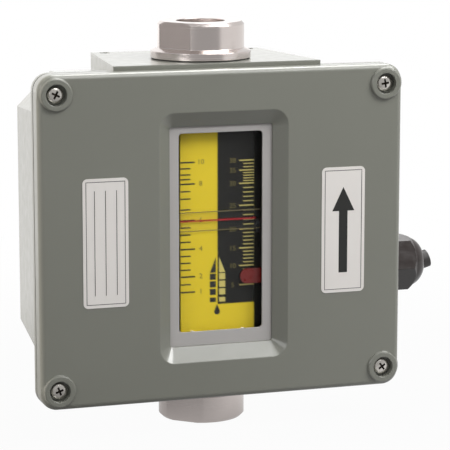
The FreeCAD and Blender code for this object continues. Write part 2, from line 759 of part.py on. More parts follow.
def clamp_bar(side):
    """One bar, below the window for -1 or above it for 1, drilled for its two screws."""
    loop = clamp_loops()[side > 0]
    left, low = [value(formula) for formula in loop[0]]
    right, high = [value(formula) for formula in loop[2]]
    front = value(f"{PARTING} - clamp_thick")
    thick = value("clamp_thick")
    bar = Part.makeBox(right - left, thick, high - low, V(left, front, low))
    for across, up in clamp_screws():
        spot = V(value(across), front, value(up))
        bar = bar.cut(Part.makeCylinder(value("small_screw_radius"), thick, spot, V(0, 1, 0)))
    return bar


def make_window():
    """Bezel, gasket and clear lens in the cover's pocket, with the bars and screws that clamp them."""
    outer = round_loop(f"-{LENS_HALF}", LENS_LOW, LENS_HALF, LENS_HIGH, "floor_corner")
    opening = round_loop("-opening_half", "opening_low", "opening_half", "opening_high", "opening_corner")
    slab(new_body("window_bezel"), "XZ_Plane", FLOOR, GASKET_FRONT, [outer, opening])
    seal_gap = round_loop("-floor_half", "floor_low", "floor_half", "floor_high", "floor_corner")
    slab(new_body("window_gasket"), "XZ_Plane", GASKET_FRONT, LENS_FRONT, [outer, seal_gap])
    lens = new_body("window_lens")
    slab(lens, "XZ_Plane", LENS_FRONT, PARTING, [outer])
    for clamp in clamp_loops():
        slab(lens, "XZ_Plane", f"{PARTING} - clamp_thick", PARTING, [clamp], cutting=True)
    group("window_clamps", [clamp_bar(side) for side in (-1, 1)])
    screw = screw_shape("small_head_radius", "small_head_height", "small_screw_radius", "cover_wall")
    facing = FreeCAD.Rotation(V(1, 0, 0), 90)
    group("window_clamp_screws", copies(screw, [(x, PARTING, z) for x, z in clamp_screws()], facing))
    for label, mid in (("label_left", "label_left"), ("label_right", "label_right")):
        plate = round_loop(f"({mid} - label_width / 2)", "(label_mid - label_height / 2)",
                           f"({mid} + label_width / 2)", "(label_mid + label_height / 2)", "label_corner")
        slab(new_body(f"{label}_plate"), "XZ_Plane", f"{COVER_FRONT} - label_thick", COVER_FRONT, [plate])


def make_cover_fixings():
    """Flat gasket between the halves of the case, and the four screws that close it."""
    body = new_body("cover_gasket")
    rim = round_loop(f"-({HALF_WIDTH} - gasket_inset)", "(case_low + gasket_inset)",
                     f"({HALF_WIDTH} - gasket_inset)", "(case_high - gasket_inset)", "case_corner")
    inside = cut_corner_loop("tub_front_half - tub_wall", "tub_front_rise - tub_wall", "tub_corner_cut")
    slab(body, "XZ_Plane", PARTING, BASE_FRONT, [rim, inside], corner_circles(SCREW_HOLE))
    screw = screw_shape("screw_head_radius", "screw_head_height", "screw_radius", "screw_length")
    group("cover_screws", copies(screw, at_corners(HEAD_SEAT), ALONG_Y))


def make_fitting(name, flat_turn, level):
    """One turned end fitting with a tapped port, two wrench flats and a spigot, and its seals."""
    cone_foot = "(fitting_exposed - collar_height)"
    spigot_end = "(fitting_exposed + neck_seal_thick + neck_depth + spigot_grip)"
    groove_near = f"({spigot_end} - ring_set_back - 2 * ring_cord)"
    groove_far = f"({spigot_end} - ring_set_back)"
    groove_radius = "(spigot_radius - 2 * ring_cord)"
    profile = [
        ("port_radius", "0"),
        ("fitting_radius - fitting_chamfer", "0"),
        ("fitting_radius", "fitting_chamfer"),
        ("fitting_radius", f"{cone_foot} - collar_cone"),
        ("collar_radius", cone_foot),
        ("collar_radius", "fitting_exposed"),
        ("spigot_radius", "fitting_exposed"),
        ("spigot_radius", groove_near),
        (groove_radius, groove_near),
        (groove_radius, groove_far),
        ("spigot_radius", groove_far),
        ("spigot_radius", spigot_end),
        ("flow_radius", spigot_end),
        ("flow_radius", "port_depth + port_runout"),
        ("port_radius", "port_depth"),
    ]
    body = turned(f"{name}_end_fitting", [(radius, level(reach)) for radius, reach in profile])
    ends = sorted((level("0"), level(f"({cone_foot} - collar_cone)")), key=value)
    for side in (-1, 1):
        near, far = sorted((f"{side} * flat_distance", f"{side} * collar_radius"), key=value)
        flat = box_loop(near, "-fitting_radius", far, "fitting_radius")
        slab(body, "XY_Plane", ends[0], ends[1], [flat], cutting=True)
    body.Placement.Rotation = FreeCAD.Rotation(V(0, 0, 1), value(flat_turn))
    seal = [
        ("spigot_radius", level("fitting_exposed")),
        ("collar_radius - neck_seal_thick", level("fitting_exposed")),
        ("collar_radius - neck_seal_thick", level("(fitting_exposed + neck_seal_thick)")),
        ("spigot_radius", level("(fitting_exposed + neck_seal_thick)")),
    ]
    turned(f"{name}_neck_seal", seal)
    ring = doc.addObject("Part::Torus", f"{name}_o_ring")
    bind(ring, "Radius1", "spigot_radius - ring_cord")
    bind(ring, "Radius2", "ring_cord")
    place(ring, up=level(f"({groove_far} - ring_cord)"))
    PARTS.append(ring)


def make_metering():
    """Meter tube, tapered metering pin between two spiders, its nuts, the piston and its return spring."""
    turned("meter_tube", [
        ("spigot_radius", SEAT_LOW),
        ("tube_radius", SEAT_LOW),
        ("tube_radius", SEAT_HIGH),
        ("spigot_radius", SEAT_HIGH),
        ("spigot_radius", CHAMBER_HIGH),
        ("bore_radius", CHAMBER_HIGH),
        ("bore_radius", CHAMBER_LOW),
        ("spigot_radius", CHAMBER_LOW),
    ])
    for label, low in (("lower_spider", SPIDER_LOW), ("upper_spider", CHAMBER_HIGH)):
        spider = new_body(label)
        high = f"({low} + spider_thick)"
        rings = [("0", "0", "spigot_radius"), ("0", "0", "pin_thread_radius")]
        slab(spider, "XY_Plane", low, high, circles=rings)
        flow_hole = ("spider_hole_pitch", "0", "spider_hole_radius")
        opening = slab(spider, "XY_Plane", low, high, circles=[flow_hole], cutting=True)
        pattern = spider.newObject("PartDesign::PolarPattern", "flow_openings")
        pattern.Originals = [opening]
        pattern.Axis = ([item for item in spider.Origin.OriginFeatures if item.Role == "Z_Axis"][0], [""])
        pattern.Angle = 360
        pattern.Occurrences = 6
        spider.Tip = pattern
    turned("metering_pin", [
        ("0", f"{SPIDER_LOW} - pin_tail"),
        ("pin_thread_radius", f"{SPIDER_LOW} - pin_tail"),
        ("pin_thread_radius", CHAMBER_LOW),
        ("cone_tip_radius", CHAMBER_LOW),
        ("cone_foot_radius", f"{CHAMBER_LOW} + pin_thread_radius"),
        ("cone_tip_radius", CHAMBER_HIGH),
        ("pin_thread_radius", CHAMBER_HIGH),
        ("pin_thread_radius", f"{SPIDER_HIGH} + pin_tail"),
        ("0", f"{SPIDER_HIGH} + pin_tail"),
    ])
    corners = [V(value(across), value(up), 0) for across, up in hex_loop("nut_across")]
    blank = Part.Face(Part.makePolygon(corners + corners[:1])).extrude(V(0, 0, value("nut_thick")))
    nut = blank.cut(Part.makeCylinder(value("pin_thread_radius"), value("nut_thick")))
    group("pin_nuts", copies(nut, [("0", "0", f"{SPIDER_LOW} - nut_thick"), ("0", "0", SPIDER_HIGH)]))
    cup_floor = f"({PISTON_LOW} + piston_floor)"
    web_low = f"({cup_floor} - piston_web)"
    turned("flow_piston", [
        ("magnet_outer", PISTON_LOW),
        ("bore_radius - piston_clearance", PISTON_LOW),
        ("bore_radius - piston_clearance", PISTON_HIGH),
        ("cup_radius", PISTON_HIGH),
        ("cup_radius", cup_floor),
        ("magnet_inner", cup_floor),
        ("magnet_inner", web_low),
        ("magnet_outer", web_low),
    ])
    disc_top = f"({PISTON_LOW} + orifice_thick)"
    turned("piston_magnet", box_loop("magnet_inner", disc_top, "magnet_outer", web_low))
    turned("orifice_disc", [
        ("orifice_radius + orifice_thick / 2", PISTON_LOW),
        ("magnet_outer", PISTON_LOW),
        ("magnet_outer", disc_top),
        ("orifice_radius", disc_top),
    ])
    make_spring(cup_floor)


def make_spring(foot):
    """Return spring between the piston's cup and the upper spider, swept along a helix."""
    rise = value(f"{CHAMBER_HIGH} - {foot} - 2 * spring_wire")
    radius = value("spring_radius")
    path = Part.makeHelix(rise / value("spring_turns"), rise, radius)
    section = Part.Wire(Part.makeCircle(value("spring_wire"), V(radius, 0, 0), V(0, 1, 0)))
    coil = Part.Wire(path.Edges).makePipeShell([section], True, True)
    group("return_spring", copies(coil, [("0", "0", f"{foot} + spring_wire")]))


def make_scale():
    """Scale plate in front of the tube, held by two clamp rings with screws."""
    plate = new_body("scale_plate")
    edges = box_loop("-scale_half", "scale_low", "scale_half", "scale_high")
    slab(plate, "XZ_Plane", SCALE_FRONT, SCALE_BACK, [edges])
    heights = ("(scale_low + bracket_height / 2)", "(scale_high - bracket_height / 2)")
    spots = [(f"{side} * scale_screw_half", height) for side in (-1, 1) for height in heights]
    holes = [(across, up, "small_screw_radius") for across, up in spots]
    slab(plate, "XZ_Plane", SCALE_FRONT, SCALE_BACK, circles=holes, cutting=True)
    for label, height, mine in (("lower_scale_clamp", heights[0], holes[0::2]),
                                ("upper_scale_clamp", heights[1], holes[1::2])):
        clamp = new_body(label)
        low = f"({height} - bracket_height / 2)"
        high = f"({height} + bracket_height / 2)"
        slab(clamp, "XY_Plane", low, high, circles=[("0", "0", "tube_radius + bracket_wall")])
        slab(clamp, "XY_Plane", low, high, [box_loop("-bracket_half", SCALE_BACK, "bracket_half", "0")])
        slab(clamp, "XY_Plane", low, high, circles=[("0", "0", "tube_radius")], cutting=True)
        slab(clamp, "XZ_Plane", SCALE_BACK, f"{SCALE_FRONT} + small_screw_length", circles=mine, cutting=True)
    screw = screw_shape("small_head_radius", "scale_head_height", "small_screw_radius", "small_screw_length")
    group("scale_screws", copies(screw, [(across, SCALE_FRONT, up) for across, up in spots], ALONG_Y))


def make_follower():
    """Magnetic follower that rides on the tube, with arms round the scale plate and a clear pointer vane."""
    bore = "(tube_radius + follower_clearance)"
    floor = f"({FOLLOWER_LOW} + follower_floor)"
    cap = f"({FOLLOWER_HIGH} - follower_cap)"
    body = turned("follower_ring", [
        (bore, FOLLOWER_LOW),
        ("follower_radius", FOLLOWER_LOW),
        ("follower_radius", cap),
        ("follower_magnet_outer", cap),
        ("follower_magnet_outer", floor),
        ("follower_magnet_inner", floor),
        ("follower_magnet_inner", cap),
        (bore, cap),
    ])
    left_arm = box_loop(f"-{ARM_FAR}", VANE_BACK, f"-{ARM_NEAR}", "-arm_root")
    right_arm = box_loop(ARM_NEAR, VANE_BACK, ARM_FAR, "-arm_root")
    slab(body, "XY_Plane", FOLLOWER_LOW, floor, [left_arm, right_arm])
    slab(body, "XY_Plane", FOLLOWER_LOW, floor, [box_loop(ARM_NEAR, "-cam_front", CAM_FACE, "-cam_back")])
    turned("follower_magnet", box_loop("follower_magnet_inner", floor, "follower_magnet_outer", cap))
    turned("follower_cap", box_loop(bore, cap, "follower_radius", FOLLOWER_HIGH))
    vane = box_loop(f"-{ARM_FAR}", "(reading_height - vane_below)", ARM_FAR, "(reading_height + vane_above)")
    slab(new_body("pointer_vane"), "XZ_Plane", VANE_FRONT, VANE_BACK, [vane])
    line = box_loop("-line_half", "(reading_height - line_height / 2)",
                    "line_half", "(reading_height + line_height / 2)")
    slab(new_body("pointer_line"), "XZ_Plane", LINE_FRONT, VANE_FRONT, [line])


def make_rail():
    """Slotted rail on two standoffs, along which the alarm switch is set."""
    rail = new_body("switch_rail")
    left = "(rail_offset - rail_half)"
    right = "(rail_offset + rail_half)"
    slot = round_loop("(rail_offset - slot_half)", "slot_low", "(rail_offset + slot_half)", "slot_high",
                      "(slot_half * 0.98)")
    ends = ("(rail_low + rail_screw_inset)", "(rail_high - rail_screw_inset)")
    slab(rail, "XZ_Plane", RAIL_FRONT, RAIL_BACK, [box_loop(left, "rail_low", right, "rail_high"), slot],
         [("rail_offset", height, "screw_radius") for height in ends])
    post = Part.makeCylinder(value("standoff_radius"), value(INNER_BACK) - value(RAIL_BACK))
    drilled = post.cut(Part.makeCylinder(value("screw_radius"), value("screw_length / 2 - rail_thick")))
    group("rail_standoffs", copies(drilled, [("rail_offset", RAIL_BACK, height) for height in ends], ALONG_Y))
    screw = screw_shape("screw_head_radius", "screw_head_height", "screw_radius", "screw_length / 2")
    group("rail_screws", copies(screw, [("rail_offset", RAIL_FRONT, height) for height in ends], ALONG_Y))


def make_switch():
    """Carriage with the microswitch, the red set-point pointer and the clamping thumbscrew."""
    carriage = new_body("switch_carriage")
    low = "(set_height - carriage_half)"
    high = "(set_height + carriage_half)"
    plate = box_loop("carriage_near", low, "carriage_far", high)
    slab(carriage, "XZ_Plane", CARRIAGE_FRONT, CARRIAGE_BACK, [plate])
    post = box_loop("(rail_offset - post_half)", "(set_height - post_half)", "(rail_offset + post_half)",
                    "(set_height + post_half)")
    slab(carriage, "XZ_Plane", TAB_BACK, CARRIAGE_FRONT, [post])
    thumb = ("rail_offset", "(set_height + thumb_rise)", "screw_radius")
    middle = "(switch_near + switch_width / 2)"
    screws = [(middle, f"(set_height + {side} * switch_screw_in)", "small_screw_radius") for side in (-1, 1)]
    slab(carriage, "XZ_Plane", CARRIAGE_FRONT, CARRIAGE_BACK, circles=[thumb] + screws, cutting=True)
    switch = new_body("microswitch_body")
    far = "(switch_near + switch_width)"
    slab(switch, "XZ_Plane", SWITCH_FRONT, CARRIAGE_FRONT,
         [box_loop("switch_near", "(set_height - switch_half)", far, "(set_height + switch_half)")])
    pivot_up = "set_height + pivot_rise"
    ear = box_loop("(switch_near - pivot_set_out - barrel_radius)", f"({pivot_up} - barrel_radius)",
                   "(switch_near + barrel_radius)", f"({pivot_up} + barrel_radius * 0.9)")
    slab(switch, "XZ_Plane", SWITCH_FRONT, f"{SWITCH_FRONT} + ear_width", [ear])
    slab(switch, "XZ_Plane", f"{CARRIAGE_FRONT} - ear_width", CARRIAGE_FRONT, [ear])
    pivot = ("(switch_near - pivot_set_out)", "(set_height + pivot_rise)", "pivot_radius")
    slab(switch, "XZ_Plane", SWITCH_FRONT, CARRIAGE_FRONT, circles=[pivot] + screws, cutting=True)
    plunger = (SWITCH_MID, "(set_height + plunger_rise)", "(plunger_radius + pivot_clearance)")
    slab(switch, "YZ_Plane", "switch_near", "switch_near + plunger_length", circles=[plunger], cutting=True)
    blades = []
    for count in (-1, 0, 1):
        blade = Part.makeBox(value("blade_length"), value("switch_depth / 2"), value("blade_thick"))
        up = f"set_height + {count} * blade_pitch - blade_thick / 2"
        spot = (far, f"{SWITCH_MID} - switch_depth / 4", up)
        blades += copies(blade, [spot])
    group("switch_terminals", blades)
    screw = screw_shape("small_head_radius", "small_head_height", "small_screw_radius",
                        "switch_depth + carriage_thick")
    group("switch_screws", copies(screw, [(across, SWITCH_FRONT, up) for across, up, _ in screws], ALONG_Y))
    radius = "(tab_height / 2)"
    right = "(rail_offset + post_half)"
    tab = [
        (f"tab_tip + {radius}", f"set_height - {radius}"),
        (right, f"set_height - {radius}"),
        (right, f"set_height + {radius}"),
        (f"tab_tip + {radius}", f"set_height + {radius}", f"{radius} * 1.0001", 1),
    ]
    slab(new_body("set_point_pointer"), "XZ_Plane", TAB_FRONT, TAB_BACK, [tab])
    thumb_reach = f"({RAIL_BACK} + slide_gap + clamp_nut_thick - {CARRIAGE_FRONT})"
    screw_body = turned("clamp_thumbscrew", [
        ("0", "-thumb_height"),
        ("thumb_radius", "-thumb_height"),
        ("thumb_radius", "0"),
        ("screw_radius", "0"),
        ("screw_radius", thumb_reach),
        ("0", thumb_reach),
    ], "XY_Plane")
    place(screw_body, "rail_offset", CARRIAGE_FRONT, "set_height + thumb_rise")
    nut = box_loop("(rail_offset - clamp_nut_half)", "(set_height + thumb_rise - clamp_nut_half)",
                   "(rail_offset + clamp_nut_half)", "(set_height + thumb_rise + clamp_nut_half)")
    nut_front = f"{RAIL_BACK} + slide_gap"
    slab(new_body("clamp_nut"), "XZ_Plane", nut_front, f"{nut_front} + clamp_nut_thick", [nut], [thumb])
    pin = turned("lever_pin", box_loop("0", f"{SWITCH_FRONT}", "pivot_radius", CARRIAGE_FRONT), "XY_Plane")
    place(pin, "switch_near - pivot_set_out", "0", "set_height + pivot_rise")


def make_lever():
    """Roller lever on the switch's pivot pin, with its roller, and the plunger that it presses."""
    lever = new_body("switch_lever")
    front = f"({SWITCH_MID} - lever_half)"
    back = f"({SWITCH_MID} + lever_half)"
    pivot_x = "(switch_near - pivot_set_out)"
    roller_x = f"({CAM_FACE} + roller_gap + roller_radius)"
    roller_z = "(set_height - roller_drop)"
    barrel = (pivot_x, "(set_height + pivot_rise)", "barrel_radius")
    blade_back = f"({pivot_x} - barrel_radius + lever_thick)"
    blade_front = f"({pivot_x} - barrel_radius)"
    slab(lever, "XZ_Plane", front, back, circles=[barrel])
    blade = box_loop(blade_front, f"({roller_z} + roller_radius + roller_gap)", blade_back,
                     "(set_height + pivot_rise)")
    slab(lever, "XZ_Plane", front, back, [blade])
    cheek = box_loop(f"({roller_x} - roller_radius / 2)", f"({roller_z} - roller_radius / 2)", blade_back,
                     f"({roller_z} + roller_radius + 2 * roller_gap)")
    slab(lever, "XZ_Plane", front, f"{SWITCH_MID} - roller_half - pivot_clearance", [cheek])
    slab(lever, "XZ_Plane", f"{SWITCH_MID} + roller_half + pivot_clearance", back, [cheek])
    bore = (pivot_x, "(set_height + pivot_rise)", "(pivot_radius + pivot_clearance)")
    axle = (roller_x, roller_z, "pivot_radius")
    slab(lever, "XZ_Plane", front, back, circles=[bore, axle], cutting=True)
    roller = new_body("lever_roller")
    slab(roller, "XZ_Plane", f"{SWITCH_MID} - roller_half", f"{SWITCH_MID} + roller_half",
         circles=[(roller_x, roller_z, "roller_radius"), axle])
    slab(new_body("roller_axle"), "XZ_Plane", front, back, circles=[axle])
    plunger_start = f"({blade_back} + plunger_tip_gap)"
    slab(new_body("switch_plunger"), "YZ_Plane", plunger_start, "switch_near + plunger_length * 0.8",
         circles=[(SWITCH_MID, "(set_height + plunger_rise)", "plunger_radius")])


def make_gland():
    """Cable gland on the right wall: washer, hexagon body, locknut, rubber insert and dome nut."""
    seat_out = "(gland_seat + gland_washer_thick)"
    hex_out = f"({seat_out} + gland_hex_length)"
    thread_end = "(gland_nut_hex_end - gland_nut_gap)"
    body_start = "(gland_seat - gland_tail)"
    ring = box_loop("gland_seat", "gland_thread_radius", seat_out, "gland_washer_radius")
    washer = turned("gland_washer", ring, axis="H_Axis")
    gland = new_body("gland_body")
    slab(gland, "YZ_Plane", seat_out, hex_out, [hex_loop("gland_hex", value("gland_turn"))])
    thread = [("0", "0", "gland_thread_radius")]
    slab(gland, "YZ_Plane", body_start, seat_out, circles=thread)
    slab(gland, "YZ_Plane", hex_out, thread_end, circles=[("0", "0", "gland_hex / 2 - gland_nut_wall")])
    slab(gland, "YZ_Plane", body_start, thread_end, circles=[("0", "0", "gland_bore")], cutting=True)
    nut = new_body("gland_dome_nut")
    slab(nut, "YZ_Plane", GLAND_NUT_START, "gland_nut_hex_end", [hex_loop("gland_hex", value("gland_turn"))])
    turn(nut, "XZ_Plane", "H_Axis", [
        ("gland_nut_hex_end - gland_nut_gap", "0"),
        ("gland_nut_end", "0"),
        ("gland_nut_end", "gland_exit_radius", "gland_dome_radius", 1),
        ("gland_nut_hex_end", "gland_hex / 2 - gland_nut_gap / 2"),
        ("gland_nut_hex_end - gland_nut_gap", "gland_hex / 2 - gland_nut_gap / 2"),
    ])
    turn(nut, "XZ_Plane", "H_Axis", [
        ("gland_nut_hex_end - gland_nut_wall", "gland_hex * 0.6"),
        ("gland_nut_hex_end", "gland_hex / 2"),
        ("gland_nut_hex_end + gland_nut_gap", "gland_hex / 2"),
        ("gland_nut_hex_end + gland_nut_gap", "gland_hex * 0.6"),
    ], cutting=True)
    slab(nut, "YZ_Plane", GLAND_NUT_START, "gland_nut_hex_end",
         circles=[("0", "0", "gland_hex / 2 - gland_nut_wall")], cutting=True)
    exit_hole = ("0", "0", "cable_radius + gland_clearance")
    slab(nut, "YZ_Plane", "gland_nut_hex_end", "gland_nut_end", circles=[exit_hole], cutting=True)
    locknut = new_body("gland_locknut")
    lock_back = "(gland_seat - gland_boss_root)"
    slab(locknut, "YZ_Plane", f"{lock_back} - locknut_thick", lock_back, [hex_loop("locknut_hex")], thread)
    insert = turned("gland_insert", box_loop(f"({hex_out} - gland_hex_length / 2)", "cable_radius",
                                             "gland_nut_hex_end", "gland_bore"), axis="H_Axis")
    for body in (washer, gland, nut, locknut, insert):
        place(body, "0", "gland_depth", "gland_height")


def bent_tube(points, bend, radius):
    """A tube along straight runs joined by arcs of one radius."""
    edges = []
    start = points[0]
    for before, corner, after in zip(points, points[1:], points[2:]):
        towards = (before - corner).normalize()
        away = (after - corner).normalize()
        half_turn = (math.pi - towards.getAngle(away)) / 2
        reach = bend * math.tan(half_turn)
        first = corner + towards * reach
        last = corner + away * reach
        middle_way = (towards + away).normalize()
        middle = corner + middle_way * (bend / math.cos(half_turn) - bend)
        edges.append(Part.LineSegment(start, first).toShape())
        edges.append(Part.Arc(first, middle, last).toShape())
        start = last
    edges.append(Part.LineSegment(start, points[-1]).toShape())
    heading = points[1] - points[0]
    ring = Part.Wire(Part.makeCircle(radius, points[0], heading))
    return Part.Wire(edges).makePipeShell([ring], True, True)


def block_holes():
    """Circles for the terminal block's two fixing screws."""
    return [("block_mid", f"(block_low + {share} * (block_high - block_low))", "small_screw_radius")
            for share in (0.3, 0.7)]


def make_wiring():
    """Cable through the gland, its three cores, the terminal block, and the earth screw."""
    depth = value("gland_depth")
    height = value("gland_height")
    tilt = math.radians(value("cable_tilt"))
    bend = value("cable_bend")
    corner_x = value("gland_nut_end - cable_lead") + bend * math.tan(tilt / 2)
    stub = bend * math.tan(tilt / 2) + value("cable_stub")
    end = V(corner_x + stub * math.cos(tilt), depth, height + stub * math.sin(tilt))
    route = [V(value("cable_inner_end"), depth, height), V(corner_x, depth, height), end]
    group("cable_stub", [bent_tube(route, bend, value("cable_radius"))])
    block = new_body("terminal_block")
    left = "(block_mid - block_half)"
    right = "(block_mid + block_half)"
    back_top = f"({INNER_BACK} - block_height)"
    step = f"({INNER_BACK} - block_height + block_step)"
    slab(block, "XZ_Plane", step, INNER_BACK, [box_loop(left, "block_low", right, "block_high")])
    slab(block, "XZ_Plane", back_top, step,
         [box_loop(left, "(block_low + block_step)", right, "(block_high - block_step)")])
    entry_depth = f"({INNER_BACK} - block_step)"
    entries = [(f"(block_mid + {count} * core_pitch)", entry_depth) for count in (-1, 0, 1)]
    slab(block, "XY_Plane", "block_low", "block_low + block_step",
         circles=[(across, deep, "core_radius") for across, deep in entries], cutting=True)
    slab(block, "XZ_Plane", back_top, INNER_BACK, circles=block_holes(), cutting=True)
    screw = screw_shape("small_head_radius", "small_head_height", "small_screw_radius",
                        f"block_height + {WALL_GRIP}")
    spots = [(across, back_top, up) for across, up, _ in block_holes()]
    group("terminal_screws", copies(screw, spots, ALONG_Y))
    cores = []
    for count, (across, deep) in zip((-1, 0, 1), entries):
        side = value(f"{count} * core_radius * 2")
        start = V(value("cable_inner_end"), depth + side, height)
        out = V(value(across), depth + side, height)
        back = V(value(across), value(deep), height + value("core_bend"))
        top = V(value(across), value(deep), value("block_low + block_step"))
        cores.append(bent_tube([start, out, back, top], value("core_bend") * 0.4, value("core_radius")))
    group("cable_cores", cores)
    earth = screw_shape("screw_head_radius", "screw_head_height", "screw_radius", WALL_GRIP)
    group("earth_screw", copies(earth, [("earth_offset", INNER_BACK, "earth_height")], ALONG_Y))


make_base()
make_cover()
make_cover_fixings()
make_window()
make_fitting("top", "top_flat_turn", lambda reach: f"(overall_length - ({reach}))")
make_fitting("bottom", "bottom_flat_turn", lambda reach: f"({reach})")
make_metering()
make_scale()
make_follower()
make_rail()
make_switch()
make_lever()
make_gland()
make_wiring()
doc.recompute()

for item in doc.Objects:
    if "Invalid" in item.State or "Error" in item.State:
        raise ValueError(f"{item.Label} failed to build")
for item in PARTS:
    if item.Shape.isNull() or not item.Shape.isValid() or not item.Shape.Solids:
        raise ValueError(f"{item.Label} has no valid solid")

os.makedirs("parts", exist_ok=True)
for item in PARTS:
    item.Shape.exportStep(f"parts/{item.Label}.step")
    print(f"{item.Label}: {len(item.Shape.Solids)} solid(s), {item.Shape.Volume:.1f} cubic mm")
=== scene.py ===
# %% [markdown]
# # A variable area flow meter
# The imported model is the fixed frame of this lesson. It is loaded first, because every piece that is made
# here sits on one of its nodes and rides on one of its bodies. Its box is kept, and the floor is laid just
# under it.

# %% Load the frame
import math

import bmesh
import bpy
from mathutils import Matrix, Vector


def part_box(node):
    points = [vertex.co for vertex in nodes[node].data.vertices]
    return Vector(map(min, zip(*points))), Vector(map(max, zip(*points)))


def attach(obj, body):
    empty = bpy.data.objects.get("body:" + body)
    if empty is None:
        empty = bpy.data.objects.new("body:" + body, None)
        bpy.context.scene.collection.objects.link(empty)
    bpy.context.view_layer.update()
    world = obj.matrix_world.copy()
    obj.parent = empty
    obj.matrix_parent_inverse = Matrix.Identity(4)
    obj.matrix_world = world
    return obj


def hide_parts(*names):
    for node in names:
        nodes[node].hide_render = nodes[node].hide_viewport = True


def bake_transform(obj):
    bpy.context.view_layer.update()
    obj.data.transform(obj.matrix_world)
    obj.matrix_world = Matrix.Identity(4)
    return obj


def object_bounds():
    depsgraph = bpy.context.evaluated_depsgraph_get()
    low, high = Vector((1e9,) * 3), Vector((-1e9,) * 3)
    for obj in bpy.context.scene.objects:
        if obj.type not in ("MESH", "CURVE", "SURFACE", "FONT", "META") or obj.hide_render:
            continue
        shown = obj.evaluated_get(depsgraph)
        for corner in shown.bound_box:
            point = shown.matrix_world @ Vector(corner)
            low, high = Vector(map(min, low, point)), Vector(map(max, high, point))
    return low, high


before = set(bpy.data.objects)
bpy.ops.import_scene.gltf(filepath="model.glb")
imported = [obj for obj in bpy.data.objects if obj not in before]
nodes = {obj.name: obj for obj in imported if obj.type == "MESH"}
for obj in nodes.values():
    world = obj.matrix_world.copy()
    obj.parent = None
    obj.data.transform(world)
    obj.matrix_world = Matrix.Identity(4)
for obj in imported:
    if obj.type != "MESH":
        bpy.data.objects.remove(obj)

bpy.context.view_layer.update()
cad_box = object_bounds()
MM = 0.001
UM = 0.000001
print("nodes:", len(nodes), "box in mm:", [[round(x / MM, 1) for x in corner] for corner in cad_box])

# %% [markdown]
# ## The camera
# The photograph was taken with a long lens from a little to the left of the window and a little above it.
# The place and the lens come from a fit of the four cover screws and the outlines of the fittings to the
# picture, so the camera is set from those numbers and not by eye. A lamp is aimed in the same way as a
# camera, so both use one helper.

# %% Camera
CAMERA_SPOT = Vector((-282.4, -888.3, 242.4)) * MM
CAMERA_AIM = Vector((10.74, 0.0, 81.03)) * MM
SENSOR_WIDTH_IN_MM = 36.0
FOCAL_LENGTH_IN_MM = 179.2
NEAREST = 0.01


def aimed(name, data, spot, aim):
    """Place a camera or a lamp at a spot, so that it faces a point."""
    made = bpy.data.objects.new(name, data)
    made.location = spot
    made.rotation_mode = "QUATERNION"
    made.rotation_quaternion = (Vector(aim) - Vector(spot)).to_track_quat("-Z", "Y")
    bpy.context.scene.collection.objects.link(made)
    return made


lens_data = bpy.data.cameras.new("photo_camera")
lens_data.sensor_width = SENSOR_WIDTH_IN_MM
lens_data.lens = FOCAL_LENGTH_IN_MM
lens_data.clip_start = NEAREST
bpy.context.scene.camera = aimed("photo_camera", lens_data, CAMERA_SPOT, CAMERA_AIM)
bpy.context.scene.view_settings.view_transform = "Standard"
print("camera is", round((CAMERA_AIM - CAMERA_SPOT).length, 3), "m from its aim")

# %% [markdown]
# ## Light
# Catalogue pictures like this one use soft boxes all around and a white sweep behind. Soft boxes are area
# lamps here. One above, one on the right and a weak one on the left light the front. The edge box stands
# behind and high, where rounded edges mirror it as bright lines. The left box lights the side of the
# case, and it is flagged off from the bright metal, which would mirror it as a white patch.

# %% Soft boxes
MIDDLE = (0.0, 0.0, 0.085)


def soft_box(name, spot, size, watts, colour=(1.0, 1.0, 1.0)):
    """A round area lamp that faces the middle of the meter."""
    lamp = bpy.data.lights.new(name, "AREA")
    lamp.shape = "DISK"
    lamp.size = size
    lamp.energy = watts
    lamp.color = colour
    return aimed(name, lamp, spot, MIDDLE)


soft_box("top_box", (0.15, -0.5, 0.72), 0.5, 2.4)
soft_box("right_box", (0.5, -0.35, 0.6), 0.36, 4.7)
soft_box("fill_box", (-1.2, -0.9, 0.5), 0.8, 4.5)
soft_box("edge_box", (0.4, 0.35, 1.3), 0.8, 16.0)
soft_box("back_box", (-0.25, 1.5, 0.45), 2.2, 5.5)
side_box = soft_box("left_box", (-2.5, 0.62, 0.5), 1.6, 115.0, (1.0, 0.92, 0.89))
side_box.visible_glossy = False
print("soft boxes:", len(bpy.data.lights))

# %% [markdown]
# ## A short way to build with nodes
# The room, the floor and every finish are small graphs of nodes. One helper adds a node and fills its
# sockets, each with a plain value or with the output of another node, so that a graph reads from top to
# bottom. A second one makes an object from a finished mesh.

# %% Helpers for nodes and objects
def fill(tree, socket, value):
    """Give a socket a plain value, or connect another node's output to it."""
    if isinstance(value, bpy.types.NodeSocket):
        tree.links.new(value, socket)
    else:
        socket.default_value = value


def add_node(tree, kind, *values, operation=None, **named):
    """Add a node and fill its sockets in their order, or by name with an underscore for each space."""
    node = tree.nodes.new("ShaderNode" + kind)
    if operation:
        node.operation = operation
    for socket, value in zip(node.inputs, values):
        fill(tree, socket, value)
    for name, value in named.items():
        fill(tree, node.inputs[name.replace("_", " ")], value)
    return node


def along(tree, place, direction):
    """How far a place or a heading reaches along a direction."""
    return add_node(tree, "VectorMath", place, direction, operation="DOT_PRODUCT").outputs["Value"]


def as_object(name, shape, *materials):
    """Turn a finished bmesh into an object of the scene."""
    mesh = bpy.data.meshes.new(name)
    shape.to_mesh(mesh)
    shape.free()
    for material in materials:
        mesh.materials.append(material)
    made = bpy.data.objects.new(name, mesh)
    bpy.context.scene.collection.objects.link(made)
    return made


